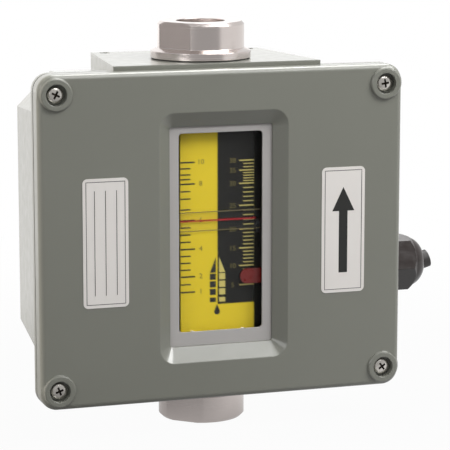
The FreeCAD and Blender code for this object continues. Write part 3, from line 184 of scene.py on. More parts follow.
# %% [markdown]
# ## The room
# The world gives the even light of the room. What the eye sees of it is white. What the metal mirrors of
# it is pale behind and on the right, and greyer towards the front and the left, as in a studio. That is
# chosen with the Light Path node, so it adds no light to the paint.

# %% The room around the meter
WHITE = (1.0, 1.0, 1.0, 1.0)
MIRRORED_GREY = (0.8, 0.8, 0.8, 1.0)
ROOM_STRENGTH = 0.33
TOWARDS_BACK = (0.8, 1.0, 0.0)
world = bpy.data.worlds.new("studio_room")
bpy.context.scene.world = world
world.use_nodes = True
room = world.node_tree
room.nodes.clear()
ray = add_node(room, "LightPath")
heading = along(room, add_node(room, "TexCoord").outputs["Generated"], TOWARDS_BACK)
front_to_back = add_node(room, "MapRange", Value=heading, From_Min=-0.6, From_Max=0.6,
                         To_Min=0.68, To_Max=1.0)
seen_light = add_node(room, "Background", Color=WHITE, Strength=1.0)
even_light = add_node(room, "Background", Color=WHITE, Strength=ROOM_STRENGTH)
mirrored_light = add_node(room, "Background", Color=MIRRORED_GREY, Strength=front_to_back.outputs["Result"])
see = add_node(room, "Math", ray.outputs["Is Camera Ray"], ray.outputs["Is Transmission Ray"],
               operation="MAXIMUM")
unseen = add_node(room, "MixShader", ray.outputs["Is Glossy Ray"], even_light.outputs[0],
                  mirrored_light.outputs[0])
whole = add_node(room, "MixShader", see.outputs["Value"], unseen.outputs[0], seen_light.outputs[0])
add_node(room, "OutputWorld", Surface=whole.outputs[0])
print("room light strength:", round(even_light.inputs["Strength"].default_value, 3))

# %% [markdown]
# ## The floor
# The floor is a plain pale sheet just under the meter. The eye sees it nearly white, with a little of its
# matt face let through close to the meter, where the soft shadow lies. An even white floor would be
# mirrored too brightly in the gloss of the case. So what gloss sees of it is graded, from dark on the
# left to white on the right and behind, and the dark end is lifted towards the front. A photographer does
# that with black cards.

# %% Pale floor
FLOOR_HALF = 4.0
FLOOR_GAP = 0.0002
floor_shape = bmesh.new()
bmesh.ops.create_grid(floor_shape, x_segments=1, y_segments=1, size=FLOOR_HALF,
                      matrix=Matrix.Translation((0.0, 0.0, cad_box[0].z - FLOOR_GAP)))
floor_paint = bpy.data.materials.new("pale_floor")
floor = as_object("pale_floor", floor_shape, floor_paint)
print("floor at", round(cad_box[0].z / MM, 2), "mm")

# %% Floor paint
MATT_GREY = (0.14, 0.14, 0.14, 1.0)
RIGHT_AND_BACK = (1.0, 0.7, 0.0)
RIGHT_AND_FRONT = (0.35, -0.5, 0.0)
floor_paint.use_nodes = True
tree = floor_paint.node_tree
tree.nodes.clear()
path = add_node(tree, "LightPath")
place = add_node(tree, "TexCoord").outputs["Object"]
dark_end = add_node(tree, "MapRange", Value=along(tree, place, RIGHT_AND_FRONT), From_Min=-0.4, From_Max=0.35,
                    To_Min=0.0, To_Max=0.38)
graded = add_node(tree, "MapRange", Value=along(tree, place, RIGHT_AND_BACK), From_Min=-0.09, From_Max=0.1,
                  To_Min=dark_end.outputs["Result"])
mirrored = add_node(tree, "Math", path.outputs["Is Glossy Ray"], graded.outputs["Result"],
                    operation="MULTIPLY")
seen = add_node(tree, "Math", path.outputs["Is Camera Ray"], mirrored.outputs["Value"],
                operation="MAXIMUM")
distance = add_node(tree, "VectorMath", place, operation="LENGTH")
fade = add_node(tree, "MapRange", Value=distance.outputs["Value"], From_Min=0.1, From_Max=0.45,
                To_Min=0.965, To_Max=1.0)
fade.interpolation_type = "SMOOTHSTEP"
share = add_node(tree, "Math", seen.outputs["Value"], fade.outputs["Result"], operation="MULTIPLY")
matt = add_node(tree, "BsdfDiffuse", Color=MATT_GREY)
glow = add_node(tree, "Emission", Color=WHITE, Strength=1.0)
surface = add_node(tree, "MixShader", share.outputs["Value"], matt.outputs[0], glow.outputs[0])
add_node(tree, "OutputMaterial", Surface=surface.outputs[0])
print("floor nodes:", len(tree.nodes))

# %% [markdown]
# ## A maker's way to write a finish
# Every finish starts from one Principled shader. A slow noise shifts the colour a little, a medium one
# shifts the roughness, and a fine one raises the surface, all on Object coordinates, so that the grain
# has its real size on every piece. The scales are in cycles per metre, so 900 is a grain of about one
# millimetre. Real edges are never quite sharp. So the paint, the turned metal, the window frame and the
# gland also get a Bevel node, which softens the light over a small radius at an edge and leaves the shape
# alone.

# %% Helpers for finishes
NOISE_LOW, NOISE_HIGH = 0.3, 0.7
# Scales of the slower noises as shares of the grain, and how far the roughness swings to either side.
SLOW, MEDIUM = 0.05, 0.3
SWING = 0.05


def tone(red, green, blue):
    """A colour from the usual 0 to 255 numbers, as the linear colour that shaders read."""
    return tuple(c / 12.92 if c <= 0.04045 else ((c + 0.055) / 1.055) ** 2.4
                 for c in (red / 255, green / 255, blue / 255)) + (1.0,)


def shaded(colour, factor):
    """A colour made darker or lighter."""
    return tuple(min(1.0, c * factor) for c in colour[:3]) + (1.0,)


class Finish:
    """A material with one Principled shader, and short ways to put patterns into it."""

    def __init__(self, name, metallic=0.0, roughness=0.5):
        self.material = bpy.data.materials.new(name)
        self.material.use_nodes = True
        self.tree = self.material.node_tree
        self.shader = self.tree.nodes["Principled BSDF"]
        self.set_to(Metallic=metallic, Roughness=roughness)
        self.place = add_node(self.tree, "TexCoord").outputs["Object"]

    def set_to(self, **values):
        """Fill the shader's own sockets, named with an underscore for each space."""
        for name, value in values.items():
            fill(self.tree, self.shader.inputs[name.replace("_", " ")], value)

    def stretched(self, x, y, z):
        """Object coordinates scaled by three factors."""
        return add_node(self.tree, "Mapping", Vector=self.place, Scale=(x, y, z)).outputs["Vector"]

    def noise(self, scale, detail=3.0, place=None):
        """A noise pattern from 0 to 1."""
        node = add_node(self.tree, "TexNoise", Vector=place or self.place, Scale=scale, Detail=detail)
        return node.outputs["Fac"]

    def between(self, pattern, low, high):
        """A noise spread over a range of numbers, from where most of it lies."""
        node = add_node(self.tree, "MapRange", Value=pattern, From_Min=NOISE_LOW, From_Max=NOISE_HIGH,
                        To_Min=low, To_Max=high)
        return node.outputs["Result"]

    def mixed(self, share, first, second):
        """Two colours mixed by a pattern. Each is a colour or the output of a node."""
        node = self.tree.nodes.new("ShaderNodeMix")
        node.data_type = "RGBA"
        # The node has sockets of the same name for each kind of data, so its colours go by number.
        fill(self.tree, node.inputs["Factor"], share)
        fill(self.tree, node.inputs[6], first)
        fill(self.tree, node.inputs[7], second)
        return node.outputs[2]

    def above(self, value, limit):
        """1 where a value is above a limit and 0 elsewhere."""
        return add_node(self.tree, "Math", value, limit, operation="GREATER_THAN").outputs["Value"]

    def raise_by(self, pattern, depth, strength=1.0, edge=0.0):
        """Bump the surface by a pattern, with its full depth in metres, and soften edges by a radius."""
        node = add_node(self.tree, "Bump", Distance=depth, Strength=strength, Height=pattern)
        self.set_to(Normal=node.outputs["Normal"])
        if edge:
            soft_edge = add_node(self.tree, "Bevel", Radius=edge).outputs["Normal"]
            fill(self.tree, node.inputs["Normal"], soft_edge)
            self.set_to(Coat_Normal=soft_edge)


def grained(name, colour, roughness, grain, depth, metallic=0.0, spread=0.06, edge=0.0):
    """A plain finish with a little life in its colour, roughness and surface."""
    finish = Finish(name, metallic, roughness)
    slow = finish.noise(grain * SLOW)
    fine = finish.noise(grain)
    finish.set_to(Base_Color=finish.mixed(slow, shaded(colour, 1 - spread), shaded(colour, 1 + spread)))
    medium = finish.noise(grain * MEDIUM)
    finish.set_to(Roughness=finish.between(medium, roughness - SWING, roughness + SWING))
    finish.raise_by(fine, depth, edge=edge)
    return finish


dressed = []


def dress(finish, *names):
    """Give CAD nodes a finish in the slots that they have."""
    for name in names:
        for place in nodes[name].material_slots:
            place.material = finish.material
    dressed.extend(names)


# %% [markdown]
# ## Paint on the castings
# The case is die-cast and stove painted in a grey green. Such paint lies a little wavy, like the skin of
# an orange, with waves of one to two millimetres and about ten micrometres deep, and it has a soft gloss.
# The gloss is what draws the bright lines along the rounded edges, so the clear top layer gets its own
# smooth coat.

# %% Stoved paint
paint = grained("stoved_paint", tone(114, 115, 106), 0.42, 700.0, 12 * UM, spread=0.03, edge=0.7 * MM)
paint.set_to(Coat_Weight=0.7, Coat_Roughness=0.08)
dress(paint, "enclosure_base", "enclosure_cover")
print("nodes dressed:", len(dressed))

# %% [markdown]
# ## Turned metal
# The end fittings are aluminium, turned on a lathe and bright anodised. A lathe leaves fine rings, which
# depend only on the height along the axis. So the noise is squeezed along Z and stretched out across it,
# and the rings catch the light as they do on the real piece.

# %% Turned aluminium and steel
ACROSS_RINGS = 6.0


def turned_metal(name, colour, roughness, rings, depth, edge=0.4 * MM):
    """Metal with fine lathe rings along Z and edges softened by a radius."""
    finish = Finish(name, 1.0, roughness)
    ring = finish.noise(1.0, 4.0, finish.stretched(ACROSS_RINGS, ACROSS_RINGS, rings))
    cloud = finish.noise(60.0)
    finish.set_to(Base_Color=finish.mixed(cloud, shaded(colour, 0.95), shaded(colour, 1.04)))
    finish.set_to(Roughness=finish.between(ring, roughness - 0.06, roughness + 0.08))
    finish.raise_by(ring, depth, 0.5, edge)
    return finish


aluminium = turned_metal("turned_aluminium", tone(212, 203, 199), 0.2, 5200.0, 1.8 * UM)
dress(aluminium, "top_end_fitting", "bottom_end_fitting", "meter_tube", "lower_scale_clamp",
      "upper_scale_clamp")
steel = turned_metal("drawn_steel", tone(196, 193, 190), 0.32, 1500.0, 6 * UM)
dress(steel, "metering_pin", "lower_spider", "upper_spider", "pin_nuts", "orifice_disc", "return_spring",
      "window_clamps", "switch_rail", "rail_standoffs", "switch_carriage", "switch_lever")
plated = grained("zinc_plated_steel", tone(206, 202, 196), 0.24, 1800.0, 3 * UM, 1.0, 0.05)
dress(plated, "cover_screws", "window_clamp_screws", "scale_screws", "rail_screws", "switch_screws",
      "terminal_screws", "earth_screw", "lever_pin", "roller_axle", "clamp_thumbscrew", "clamp_nut")
brass = grained("stamped_brass", tone(190, 160, 95), 0.3, 1500.0, 4 * UM, 1.0)
dress(brass, "switch_terminals")
print("nodes dressed:", len(dressed))

# %% [markdown]
# ## Mouldings, rubber and labels
# The window frame is a light grey moulding with a satin skin. The gland is nylon, nearly black, with a
# faint brown tint. Seals are matt rubber. Each has the grain of its own mould, coarser on the rubber and
# finer on the nylon. The red line is printed thinly on the clear vane, so its ink lets some of the scale
# show through.

# %% Mouldings and rubber
frame_grey = grained("frame_moulding", tone(170, 167, 165), 0.4, 1600.0, 6 * UM, spread=0.03, edge=0.4 * MM)
dress(frame_grey, "window_bezel")
nylon = grained("gland_nylon", tone(40, 33, 31), 0.11, 1100.0, 6 * UM, spread=0.1, edge=0.4 * MM)
dress(nylon, "gland_body", "gland_dome_nut", "gland_locknut")
rubber = grained("seal_rubber", tone(38, 37, 36), 0.7, 900.0, 20 * UM, spread=0.12)
dress(rubber, "cover_gasket", "window_gasket", "top_neck_seal", "bottom_neck_seal", "top_o_ring",
      "bottom_o_ring", "gland_washer", "gland_insert")
jacket = grained("cable_jacket", tone(44, 41, 40), 0.5, 1200.0, 12 * UM, spread=0.1)
dress(jacket, "cable_stub")
phenolic = grained("switch_phenolic", tone(36, 35, 36), 0.5, 1400.0, 10 * UM, spread=0.1)
dress(phenolic, "microswitch_body", "terminal_block")
acetal = grained("acetal", tone(32, 32, 34), 0.4, 1300.0, 8 * UM, spread=0.1)
dress(acetal, "flow_piston", "follower_ring", "follower_cap", "lever_roller")
ferrite = grained("sintered_ferrite", tone(58, 57, 60), 0.6, 2500.0, 10 * UM, spread=0.15)
dress(ferrite, "piston_magnet", "follower_magnet")
signal_red = grained("signal_red", tone(110, 19, 15), 0.3, 1200.0, 4 * UM)
dress(signal_red, "set_point_pointer", "switch_plunger")
red_ink = grained("red_ink", tone(205, 32, 44), 0.35, 1200.0, 2 * UM, spread=0.04)
red_ink.set_to(Alpha=0.46)
dress(red_ink, "pointer_line")
core_red = grained("core_insulation", tone(150, 44, 38), 0.45, 1200.0, 6 * UM)
dress(core_red, "cable_cores")
film = grained("label_film", tone(220, 216, 212), 0.35, 1400.0, 4 * UM, spread=0.015)
dress(film, "label_left_plate", "label_right_plate")
print("nodes dressed:", len(dressed))

# %% [markdown]
# ## Clear sheets
# The window and the pointer's vane are clear plastic. Bent light through such thin sheets hardly shifts,
# but lamps have to reach the scale behind them. So most of the sheet simply lets light through, by its
# alpha, and the rest is glass with a polished face.

# %% Window and vane
GLASS_SHARE = 0.14
PLASTIC_IOR = 1.5


def clear_sheet(name, colour, roughness):
    """A thin clear sheet that lets lamps through."""
    finish = Finish(name, 0.0, roughness)
    finish.set_to(Base_Color=colour, Transmission_Weight=1.0, IOR=PLASTIC_IOR, Alpha=GLASS_SHARE)
    scuff = finish.noise(420.0, 5.0)
    finish.set_to(Roughness=finish.between(scuff, roughness, roughness + 0.03))
    return finish


dress(clear_sheet("window_sheet", WHITE, 0.02), "window_lens")
dress(clear_sheet("vane_sheet", tone(246, 244, 238), 0.04), "pointer_vane")
print("nodes dressed:", len(dressed))

# %% [markdown]
# ## The printed dial
# The scale plate is printed in two colours: a yellow half with black ticks on the left, a black half with
# yellow ticks on the right, and yellow again right across the foot. The two fields are one material that
# asks where it is on the plate. A thin noise lets the ink breathe.

# %% Dial inks
FOOT_OF_BLACK = 52.0 * MM
YELLOW = tone(224, 199, 46)
BLACK = tone(26, 26, 24)
dial = Finish("dial_print", 0.0, 0.55)
dial.set_to(Specular_IOR_Level=0.25)
axes = add_node(dial.tree, "SeparateXYZ", dial.place)
right_half = dial.above(axes.outputs["X"], 0.0)
upper_part = dial.above(axes.outputs["Z"], FOOT_OF_BLACK)
both = add_node(dial.tree, "Math", right_half, upper_part, operation="MULTIPLY")
ink = dial.noise(140.0)
yellow_ink = dial.mixed(ink, shaded(YELLOW, 0.96), shaded(YELLOW, 1.04))
black_ink = dial.mixed(ink, shaded(BLACK, 0.85), shaded(BLACK, 1.2))
dial.set_to(Base_Color=dial.mixed(both.outputs["Value"], yellow_ink, black_ink))
dial.raise_by(dial.noise(2200.0), 4 * UM)
dress(dial, "scale_plate")
print("nodes dressed:", len(dressed), "of", len(nodes))


# %% Inks for ticks and numbers
def thin_ink(name, colour, spread):
    """A thin printed ink with a satin face."""
    return grained(name, colour, 0.4, 2000.0, 2 * UM, spread=spread)


tick_black = thin_ink("tick_black", BLACK, 0.1)
tick_yellow = thin_ink("tick_yellow", tone(204, 190, 108), 0.05)
number_olive = thin_ink("number_olive", tone(120, 104, 38), 0.08)
number_bronze = thin_ink("number_bronze", tone(104, 94, 44), 0.08)
print("inks:", *(made.material.name for made in (tick_black, tick_yellow, number_olive, number_bronze)))

# %% [markdown]
# ## Ticks and numbers
# A tick is a strip of ink about a twentieth of a millimetre thick, so each is a cube that is scaled flat,
# and all ticks of one ink are one mesh. The heights follow the printed scale, which isn't even, so a few
# readings with their heights are joined by straight lines and the ticks are set at equal steps of the
# reading.

# %% Helpers for printed marks
PLATE_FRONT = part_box("scale_plate")[0].y
INK = 0.05 * MM


def new_piece(name, shape, finish, body, second=None):
    """Turn a finished bmesh into a piece that rides on a body, or on none yet."""
    piece = as_object(name, shape, *(layer.material for layer in (finish, second) if layer))
    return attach(piece, body) if body else piece


def add_strip(shape, left, right, low, high, back=PLATE_FRONT):
    """Add a flat strip of ink in front of a face, in metres."""
    made = bmesh.ops.create_cube(shape, size=1.0)
    size = Matrix.Diagonal((right - left, INK, high - low, 1.0))
    spot = Matrix.Translation(((left + right) / 2, back - INK / 2, (low + high) / 2))
    bmesh.ops.transform(shape, matrix=spot @ size, verts=made["verts"])


def thicken(shape, faces):
    """Push flat faces forward by the thickness of the ink, with sides behind them."""
    grown = bmesh.ops.extrude_face_region(shape, geom=faces)
    front = [item for item in grown["geom"] if isinstance(item, bmesh.types.BMVert)]
    bmesh.ops.translate(shape, verts=front, vec=(0.0, -INK, 0.0))


def add_outline(shape, corners, back=PLATE_FRONT):
    """Fill a flat outline of points in millimetres and give it the thickness of the ink."""
    made = [shape.verts.new((across * MM, back, up * MM)) for across, up in corners]
    thicken(shape, [shape.faces.new(made)])


def height_of(reading, scale):
    """Height of a reading on a printed scale, in metres."""
    for (low, low_up), (high, high_up) in zip(scale, scale[1:]):
        if reading <= high:
            return (low_up + (high_up - low_up) * (reading - low) / (high - low)) * MM
    return scale[-1][1] * MM


# %% Ticks
# Readings with their heights in millimetres, then the readings that carry a number.
GALLONS = ((1, 57.8), (2, 64.25), (4, 75.8), (6, 87.8), (7, 96.8), (8, 102.95), (9, 106.8), (10, 111.9))
LITRES = ((5, 59.6), (10, 67.7), (15, 75.1), (20, 83.1), (25, 93.0), (30, 102.2), (35, 107.7), (38, 111.8))
GALLON_NUMBERS = (1, 2, 4, 6, 8, 10)
LITRE_NUMBERS = (5, 10, 15, 20, 25, 30, 35, 38)
# Reach and half thickness of a tick in millimetres, with a number beside it and without.
GALLON_TICK = {True: (6.2, 0.32), False: (4.3, 0.27)}
LITRE_TICK = {True: (6.4, 0.26), False: (4.7, 0.2)}
LEFT_EDGE = -15.95 * MM
RIGHT_EDGE = 15.9 * MM
gallon_readings = [half_step / 2 for half_step in range(2, 21)]
left_ticks = bmesh.new()
for reading in gallon_readings:
    up = height_of(reading, GALLONS)
    reach, half = (size * MM for size in GALLON_TICK[reading in GALLON_NUMBERS])
    add_strip(left_ticks, LEFT_EDGE, LEFT_EDGE + reach, up - half, up + half)
new_piece("gallon_ticks", left_ticks, tick_black, "housing")
litre_readings = range(5, 39)
right_ticks = bmesh.new()
for reading in litre_readings:
    up = height_of(reading, LITRES)
    reach, half = (size * MM for size in LITRE_TICK[reading in LITRE_NUMBERS])
    add_strip(right_ticks, RIGHT_EDGE - reach, RIGHT_EDGE, up - half, up + half)
new_piece("litre_ticks", right_ticks, tick_yellow, "housing")
print("ticks:", len(gallon_readings), "and", len(litre_readings))

# %% Numbers
NUMBER_SIZE = 3.0 * MM
GALLON_COLUMN = -7.2 * MM
LITRE_COLUMN = 6.6 * MM


def add_number(shape, text, across, up):
    """Add a number to a mesh of printed marks, centred on a point of the plate."""
    words = bpy.data.curves.new("number", "FONT")
    words.body = text
    words.size = NUMBER_SIZE
    words.align_x = "CENTER"
    words.align_y = "CENTER"
    words.extrude = INK / 2
    words.resolution_u = 3
    holder = bpy.data.objects.new("number", words)
    mesh = bpy.data.meshes.new_from_object(holder)
    upright = Matrix.Rotation(math.radians(90), 4, "X")
    mesh.transform(Matrix.Translation((across, PLATE_FRONT - INK / 2, up)) @ upright)
    shape.from_mesh(mesh)
    bpy.data.objects.remove(holder)
    bpy.data.curves.remove(words)
    bpy.data.meshes.remove(mesh)


left_numbers = bmesh.new()
for reading in GALLON_NUMBERS:
    add_number(left_numbers, str(reading), GALLON_COLUMN, height_of(reading, GALLONS))
new_piece("gallon_numbers", left_numbers, number_olive, "housing")
right_numbers = bmesh.new()
for reading in LITRE_NUMBERS:
    add_number(right_numbers, str(reading), LITRE_COLUMN, height_of(reading, LITRES))
new_piece("litre_numbers", right_numbers, number_bronze, "housing")
print("numbers:", len(GALLON_NUMBERS) + len(LITRE_NUMBERS))

# %% [markdown]
# ## The flow arrow
# Two half arrows stand back to back on the line between the fields, black on the yellow side and yellow
# on the black side. Each is a flat triangle that is pushed forward by the thickness of the ink, over a
# shaft of four dashes. A drop stands below them, where such dials show what flows.

# %% Half arrows
# Sizes and heights on the plate in millimetres.
INNER, OUTER = 0.7, 3.35
HEAD_LOW, HEAD_TIP = 65.4, 71.9
DASHES = ((53.0, 54.9), (56.0, 58.6), (59.2, 61.8), (62.4, 65.0))
for side, finish, label in ((-1, tick_black, "gallon_arrow"), (1, tick_yellow, "litre_arrow")):
    arrow = bmesh.new()
    add_outline(arrow, [(side * INNER, HEAD_LOW), (side * OUTER, HEAD_LOW), (side * INNER, HEAD_TIP)])
    near, far = sorted((side * INNER, side * OUTER))
    for low, high in DASHES:
        add_strip(arrow, near * MM, far * MM, low * MM, high * MM)
    bmesh.ops.recalc_face_normals(arrow, faces=arrow.faces)
    new_piece(label, arrow, finish, "housing")
print("dashes in each half arrow:", len(DASHES))

# %% Drop
DROP_ACROSS, DROP_MID, DROP_RADIUS = -0.2, 48.9, 1.25
DROP_TIP = DROP_MID + 2.6 * DROP_RADIUS
DROP_ARC = range(-210, 31, 20)
turns = [math.radians(angle) for angle in DROP_ARC]
drop = bmesh.new()
add_outline(drop, [(DROP_ACROSS + DROP_RADIUS * math.cos(turn), DROP_MID + DROP_RADIUS * math.sin(turn))
                   for turn in turns] + [(DROP_ACROSS, DROP_TIP)])
bmesh.ops.recalc_face_normals(drop, faces=drop.faces)
new_piece("oil_drop", drop, tick_black, "housing")
print("drop corners:", len(turns) + 1)

# %% [markdown]
# ## Painted highlights on the vane's edges
# A clear sheet is mostly seen by its edges, which gather light. On the meter they show as two thin lines
# above and below the red one. Two slim strips on the vane's face are painted highlights for the light that
# the polished edges gather, and ride up and down with it.

# %% Vane edges
EDGE = 0.4 * MM
vane_low, vane_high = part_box("pointer_vane")
highlight_shape = bmesh.new()
for near in (vane_low.z, vane_high.z - EDGE):
    add_strip(highlight_shape, vane_low.x, vane_high.x, near, near + EDGE, vane_low.y)
# The strips' ink is a painted highlight, standing for the light that the vane's polished edges gather.
vane_edge_painted_highlight = grained("vane_edge_painted_highlight", tone(136, 122, 82), 0.2, 1400.0, 2 * UM)
vane_edge_painted_highlight.set_to(Alpha=0.5)
vane_edge_highlights = new_piece("vane_edge_highlights", highlight_shape, vane_edge_painted_highlight, "follower")
print("faces of the vane's edges:", len(vane_edge_highlights.data.polygons))

# %% [markdown]
# ## Printing on the labels
# The two labels are plain films. A thin printed border runs a little inside their edges. It is one face
# whose rim is inset, with the middle taken out. The left label has ruled lines, as a label that is filled
# in by hand, and the right one has the arrow that tells a fitter which way the meter flows.

# %% Label borders
INSET = 1.3 * MM
BORDER = 0.22 * MM


def label_border(name, node):
    """A thin frame of ink on a label."""
    low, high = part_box(node)
    left, right, foot, head = low.x + INSET, high.x - INSET, low.z + INSET, high.z - INSET
    shape = bmesh.new()
    corners = [shape.verts.new((across, low.y, up))
               for across, up in ((left, foot), (right, foot), (right, head), (left, head))]
    middle = shape.faces.new(corners)
    middle.normal_update()
    rim = bmesh.ops.inset_region(shape, faces=[middle], thickness=BORDER, use_boundary=True,
                                 use_even_offset=True)["faces"]
    bmesh.ops.delete(shape, geom=[middle], context="FACES_ONLY")
    thicken(shape, rim)
    bmesh.ops.recalc_face_normals(shape, faces=shape.faces)
    return new_piece(name, shape, tick_black, "housing")


for name, node in (("label_left_border", "label_left_plate"), ("label_right_border", "label_right_plate")):
    border = label_border(name, node)
    print(name, "faces:", len(border.data.polygons))

# %% Ruled lines
LINE_GAP, LINE_WIDTH, LINE_END = 4.6 * MM, 0.25 * MM, 5.0 * MM
low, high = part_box("label_left_plate")
middle = (low.x + high.x) / 2
rules = bmesh.new()
for step in (-1, 0, 1):
    near = middle + step * LINE_GAP - LINE_WIDTH / 2
    add_strip(rules, near, near + LINE_WIDTH, low.z + LINE_END, high.z - LINE_END, low.y)
ruled = new_piece("label_left_rules", rules, tick_black, "housing")
print("faces of the ruled lines:", len(ruled.data.polygons))

# %% Flow arrow on the right label
SHAFT_HALF, HEAD_HALF, ARROW_HALF, HEAD_LENGTH = 1.9 * MM, 4.9 * MM, 18.0 * MM, 10.0 * MM
low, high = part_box("label_right_plate")
middle, centre = (low.x + high.x) / 2, (low.z + high.z) / 2
neck, tip = centre + ARROW_HALF - HEAD_LENGTH, centre + ARROW_HALF
flow_arrow = bmesh.new()
add_strip(flow_arrow, middle - SHAFT_HALF, middle + SHAFT_HALF, centre - ARROW_HALF, neck, low.y)
head = ((middle - HEAD_HALF, neck), (middle + HEAD_HALF, neck), (middle, tip))
add_outline(flow_arrow, [(across / MM, up / MM) for across, up in head], low.y)
bmesh.ops.recalc_face_normals(flow_arrow, faces=flow_arrow.faces)
new_piece("label_right_arrow", flow_arrow, tick_black, "housing")
print("flow arrow is", round(2 * ARROW_HALF / MM, 1), "mm long")

# %% [markdown]
# ## Cross-slot cover screws
# Four plated pan-head screws close the case. The head's outline is turned with spin, and a tapered cross
# is cut into it. A boolean does that cut more simply than knitting the faces of the slot by hand, and its
# result is kept as a plain mesh. The walls of the cross take the cutter's dark steel, which is painted shade
# in the recess. Each screw stopped at its own angle when it was tightened.

# %% One screw along Z, its head up
HEAD_RADIUS = 3.35 * MM
HEAD_HEIGHT = 2.2 * MM
HEAD_RIM = HEAD_HEIGHT * 0.42
DOME_SHARE = 0.48
DOME_TURNS = (0.0, 0.3, 0.6, 0.9, 1.2, 1.45)
SHANK_RADIUS = 2.0 * MM
SHANK_LENGTH = 14.0 * MM
SCREW_SIDES = 40
SLOT_LENGTH, SLOT_WIDTH, SLOT_DEPTH = 4.5 * MM, 1.05 * MM, 3.0 * MM
SLOT_MID = HEAD_HEIGHT * 0.95
SLOT_TAPER = (0.5, 0.6, 1.0)
SAME_POINT = 1e-7


def screw_blank():
    """A pan-head screw turned about Z, with its seat at the origin."""
    shape = bmesh.new()
    dome = [(HEAD_RADIUS * math.sin(turn), HEAD_HEIGHT * (1 - DOME_SHARE + DOME_SHARE * math.cos(turn)))
            for turn in DOME_TURNS]
    outline = dome + [(HEAD_RADIUS, HEAD_RIM), (HEAD_RADIUS, 0.0), (SHANK_RADIUS, 0.0),
                      (SHANK_RADIUS, -SHANK_LENGTH), (0.0, -SHANK_LENGTH)]
    made = [shape.verts.new((radius, 0.0, up)) for radius, up in outline]
    edges = [shape.edges.new(pair) for pair in zip(made, made[1:])]
    bmesh.ops.spin(shape, geom=made + edges, cent=(0, 0, 0), axis=(0, 0, 1), angle=math.tau,
                   steps=SCREW_SIDES, use_merge=True)
    bmesh.ops.remove_doubles(shape, verts=shape.verts, dist=SAME_POINT)
    bmesh.ops.recalc_face_normals(shape, faces=shape.faces)
    return shape


def cross_cutter():
    """A tapered cross, wider at the top, that is cut into the head."""
    shape = bmesh.new()
    for angle in (0.0, 90.0):
        made = bmesh.ops.create_cube(shape, size=1.0)
        size = Matrix.Diagonal((SLOT_LENGTH, SLOT_WIDTH, SLOT_DEPTH, 1.0))
        spot = Matrix.Translation((0.0, 0.0, SLOT_MID))
        bmesh.ops.transform(shape, matrix=Matrix.Rotation(math.radians(angle), 4, "Z") @ spot @ size,
                            verts=made["verts"])
        foot = [vert for vert in made["verts"] if vert.co.z < SLOT_MID]
        bmesh.ops.scale(shape, vec=SLOT_TAPER, verts=foot)
    return shape


# The slot's dark steel is painted shade: the recess of the cross is made darker than the plated head.
slot_shade_paint = grained("slot_painted_shade", tone(74, 66, 58), 0.55, 2200.0, 6 * UM, 1.0, 0.2)
blank = as_object("screw_blank", screw_blank(), plated.material)
cutter = as_object("cross_cutter", cross_cutter(), slot_shade_paint.material)
cut = blank.modifiers.new("cross", "BOOLEAN")
cut.object = cutter
cut.solver = "EXACT"
cut.material_mode = "TRANSFER"
cut.use_self = True
bpy.context.view_layer.update()
screw_mesh = bpy.data.meshes.new_from_object(blank.evaluated_get(bpy.context.evaluated_depsgraph_get()))
bpy.data.objects.remove(blank)
bpy.data.objects.remove(cutter)
print("screw faces:", len(screw_mesh.polygons))

# %% Four screws in the cover
SCREW_ANGLES = (20.0, 64.0, 35.0, 8.0)
SHARP_ANGLE = math.radians(28)
low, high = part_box("cover_screws")
seat = low.y + HEAD_HEIGHT
places = [(across, up) for across in (low.x + HEAD_RADIUS, high.x - HEAD_RADIUS)
          for up in (low.z + HEAD_RADIUS, high.z - HEAD_RADIUS)]
facing_out = Matrix.Rotation(math.radians(90), 4, "X")
screws = bmesh.new()
for (across, up), angle in zip(places, SCREW_ANGLES):
    copy = screw_mesh.copy()
    stopped = Matrix.Rotation(math.radians(angle), 4, "Z")
    copy.transform(Matrix.Translation((across, seat, up)) @ facing_out @ stopped)
    screws.from_mesh(copy)
    bpy.data.meshes.remove(copy)
for face in screws.faces:
    face.smooth = True
for edge in screws.edges:
    edge.smooth = edge.is_manifold and edge.calc_face_angle(0.0) < SHARP_ANGLE
cross_screws = new_piece("cross_slot_screws", screws, plated, "housing", slot_shade_paint)
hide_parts("cover_screws")
bpy.data.meshes.remove(screw_mesh)
print("cover screws:", len(places))

# %% [markdown]
# ## Pipe threads
# Both ports are tapped. A thread is one small ridge that is wound up the bore, which spin does when it is
# given a step along the axis for each step around it. Its crest is sharp, so its metal has no softened
# edges, which would wipe out so small a ridge. Its root is sunk a little into the wall, and both ends are
# filled, so that it is a closed shape.

# %% Threads in the ports
STEPS_PER_TURN = 40
THREAD_PITCH = 1.814 * MM
THREAD_TURNS = 6
THREAD_DEPTH = 0.75 * MM
ROOT_HALF = THREAD_PITCH * 0.45
ROOT_SUNK = 0.02 * MM
CREST_HALF = 0.1 * MM
PORT_RADIUS = 10.2 * MM
TOP_THREAD_DOWN = 13.0 * MM
BOTTOM_THREAD_UP = 1.8 * MM
tapped = turned_metal("tapped_aluminium", tone(196, 188, 184), 0.3, 1500.0, 2 * UM, 0.0)


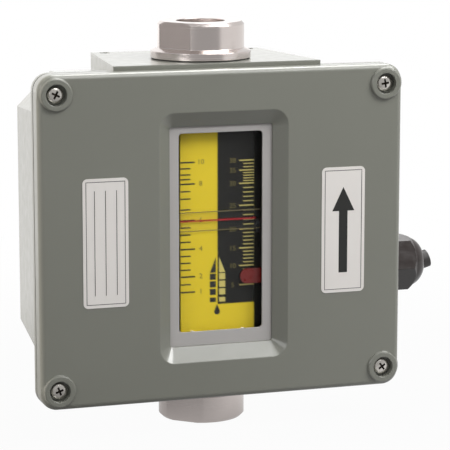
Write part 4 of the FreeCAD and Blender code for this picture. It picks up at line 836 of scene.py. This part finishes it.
def wound(outline, climb, turns):
    """A closed outline of radii and heights, wound about Z with a climb in each turn."""
    shape = bmesh.new()
    made = [shape.verts.new((radius, 0.0, up)) for radius, up in outline]
    edges = [shape.edges.new(pair) for pair in zip(made, made[1:] + made[:1])]
    bmesh.ops.spin(shape, geom=made + edges, cent=(0, 0, 0), axis=(0, 0, 1),
                   dvec=(0, 0, climb / STEPS_PER_TURN), angle=math.tau * turns, steps=STEPS_PER_TURN * turns)
    bmesh.ops.holes_fill(shape, edges=shape.edges, sides=len(outline))
    bmesh.ops.recalc_face_normals(shape, faces=shape.faces)
    return shape


def port_thread(name, foot):
    """A ridge wound up a port's bore, from a height in metres."""
    root, crest = PORT_RADIUS + ROOT_SUNK, PORT_RADIUS - THREAD_DEPTH
    outline = [(root, foot - ROOT_HALF), (crest, foot - CREST_HALF), (crest, foot + CREST_HALF),
               (root, foot + ROOT_HALF)]
    return new_piece(name, wound(outline, THREAD_PITCH, THREAD_TURNS), tapped, "housing")


top_thread = port_thread("top_port_thread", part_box("top_end_fitting")[1].z - TOP_THREAD_DOWN)
bottom_thread = port_thread("bottom_port_thread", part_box("bottom_end_fitting")[0].z + BOTTOM_THREAD_UP)
print("thread faces:", len(top_thread.data.polygons), "and", len(bottom_thread.data.polygons))

# %% [markdown]
# ## The return spring
# Inside the tube a coil spring stands between the piston's cup and the upper spider. It gets shorter as
# the piston rises and longer as it falls. Here it is wound like the threads, from a round wire, over the
# height of the model's spring, and it is attached to no body.

# %% Return spring
WIRE_RADIUS = 0.5 * MM
WIRE_SIDES = 12
COILS = 7
low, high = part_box("return_spring")
coil_radius = high.x - WIRE_RADIUS
wire = [(coil_radius + WIRE_RADIUS * math.cos(turn), low.z + WIRE_RADIUS * (1 + math.sin(turn)))
        for turn in (math.tau * side / WIRE_SIDES for side in range(WIRE_SIDES))]
coil = wound(wire, (high.z - low.z - 2 * WIRE_RADIUS) / COILS, COILS)
for face in coil.faces:
    face.smooth = len(face.verts) == 4
spring = new_piece("coil_spring", coil, steel, None)
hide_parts("return_spring")
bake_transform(spring)
print("spring faces:", len(spring.data.polygons))

# %% [markdown]
# ## Finish
# The view layer is brought up to date.

# %% Finish
bpy.context.view_layer.update()
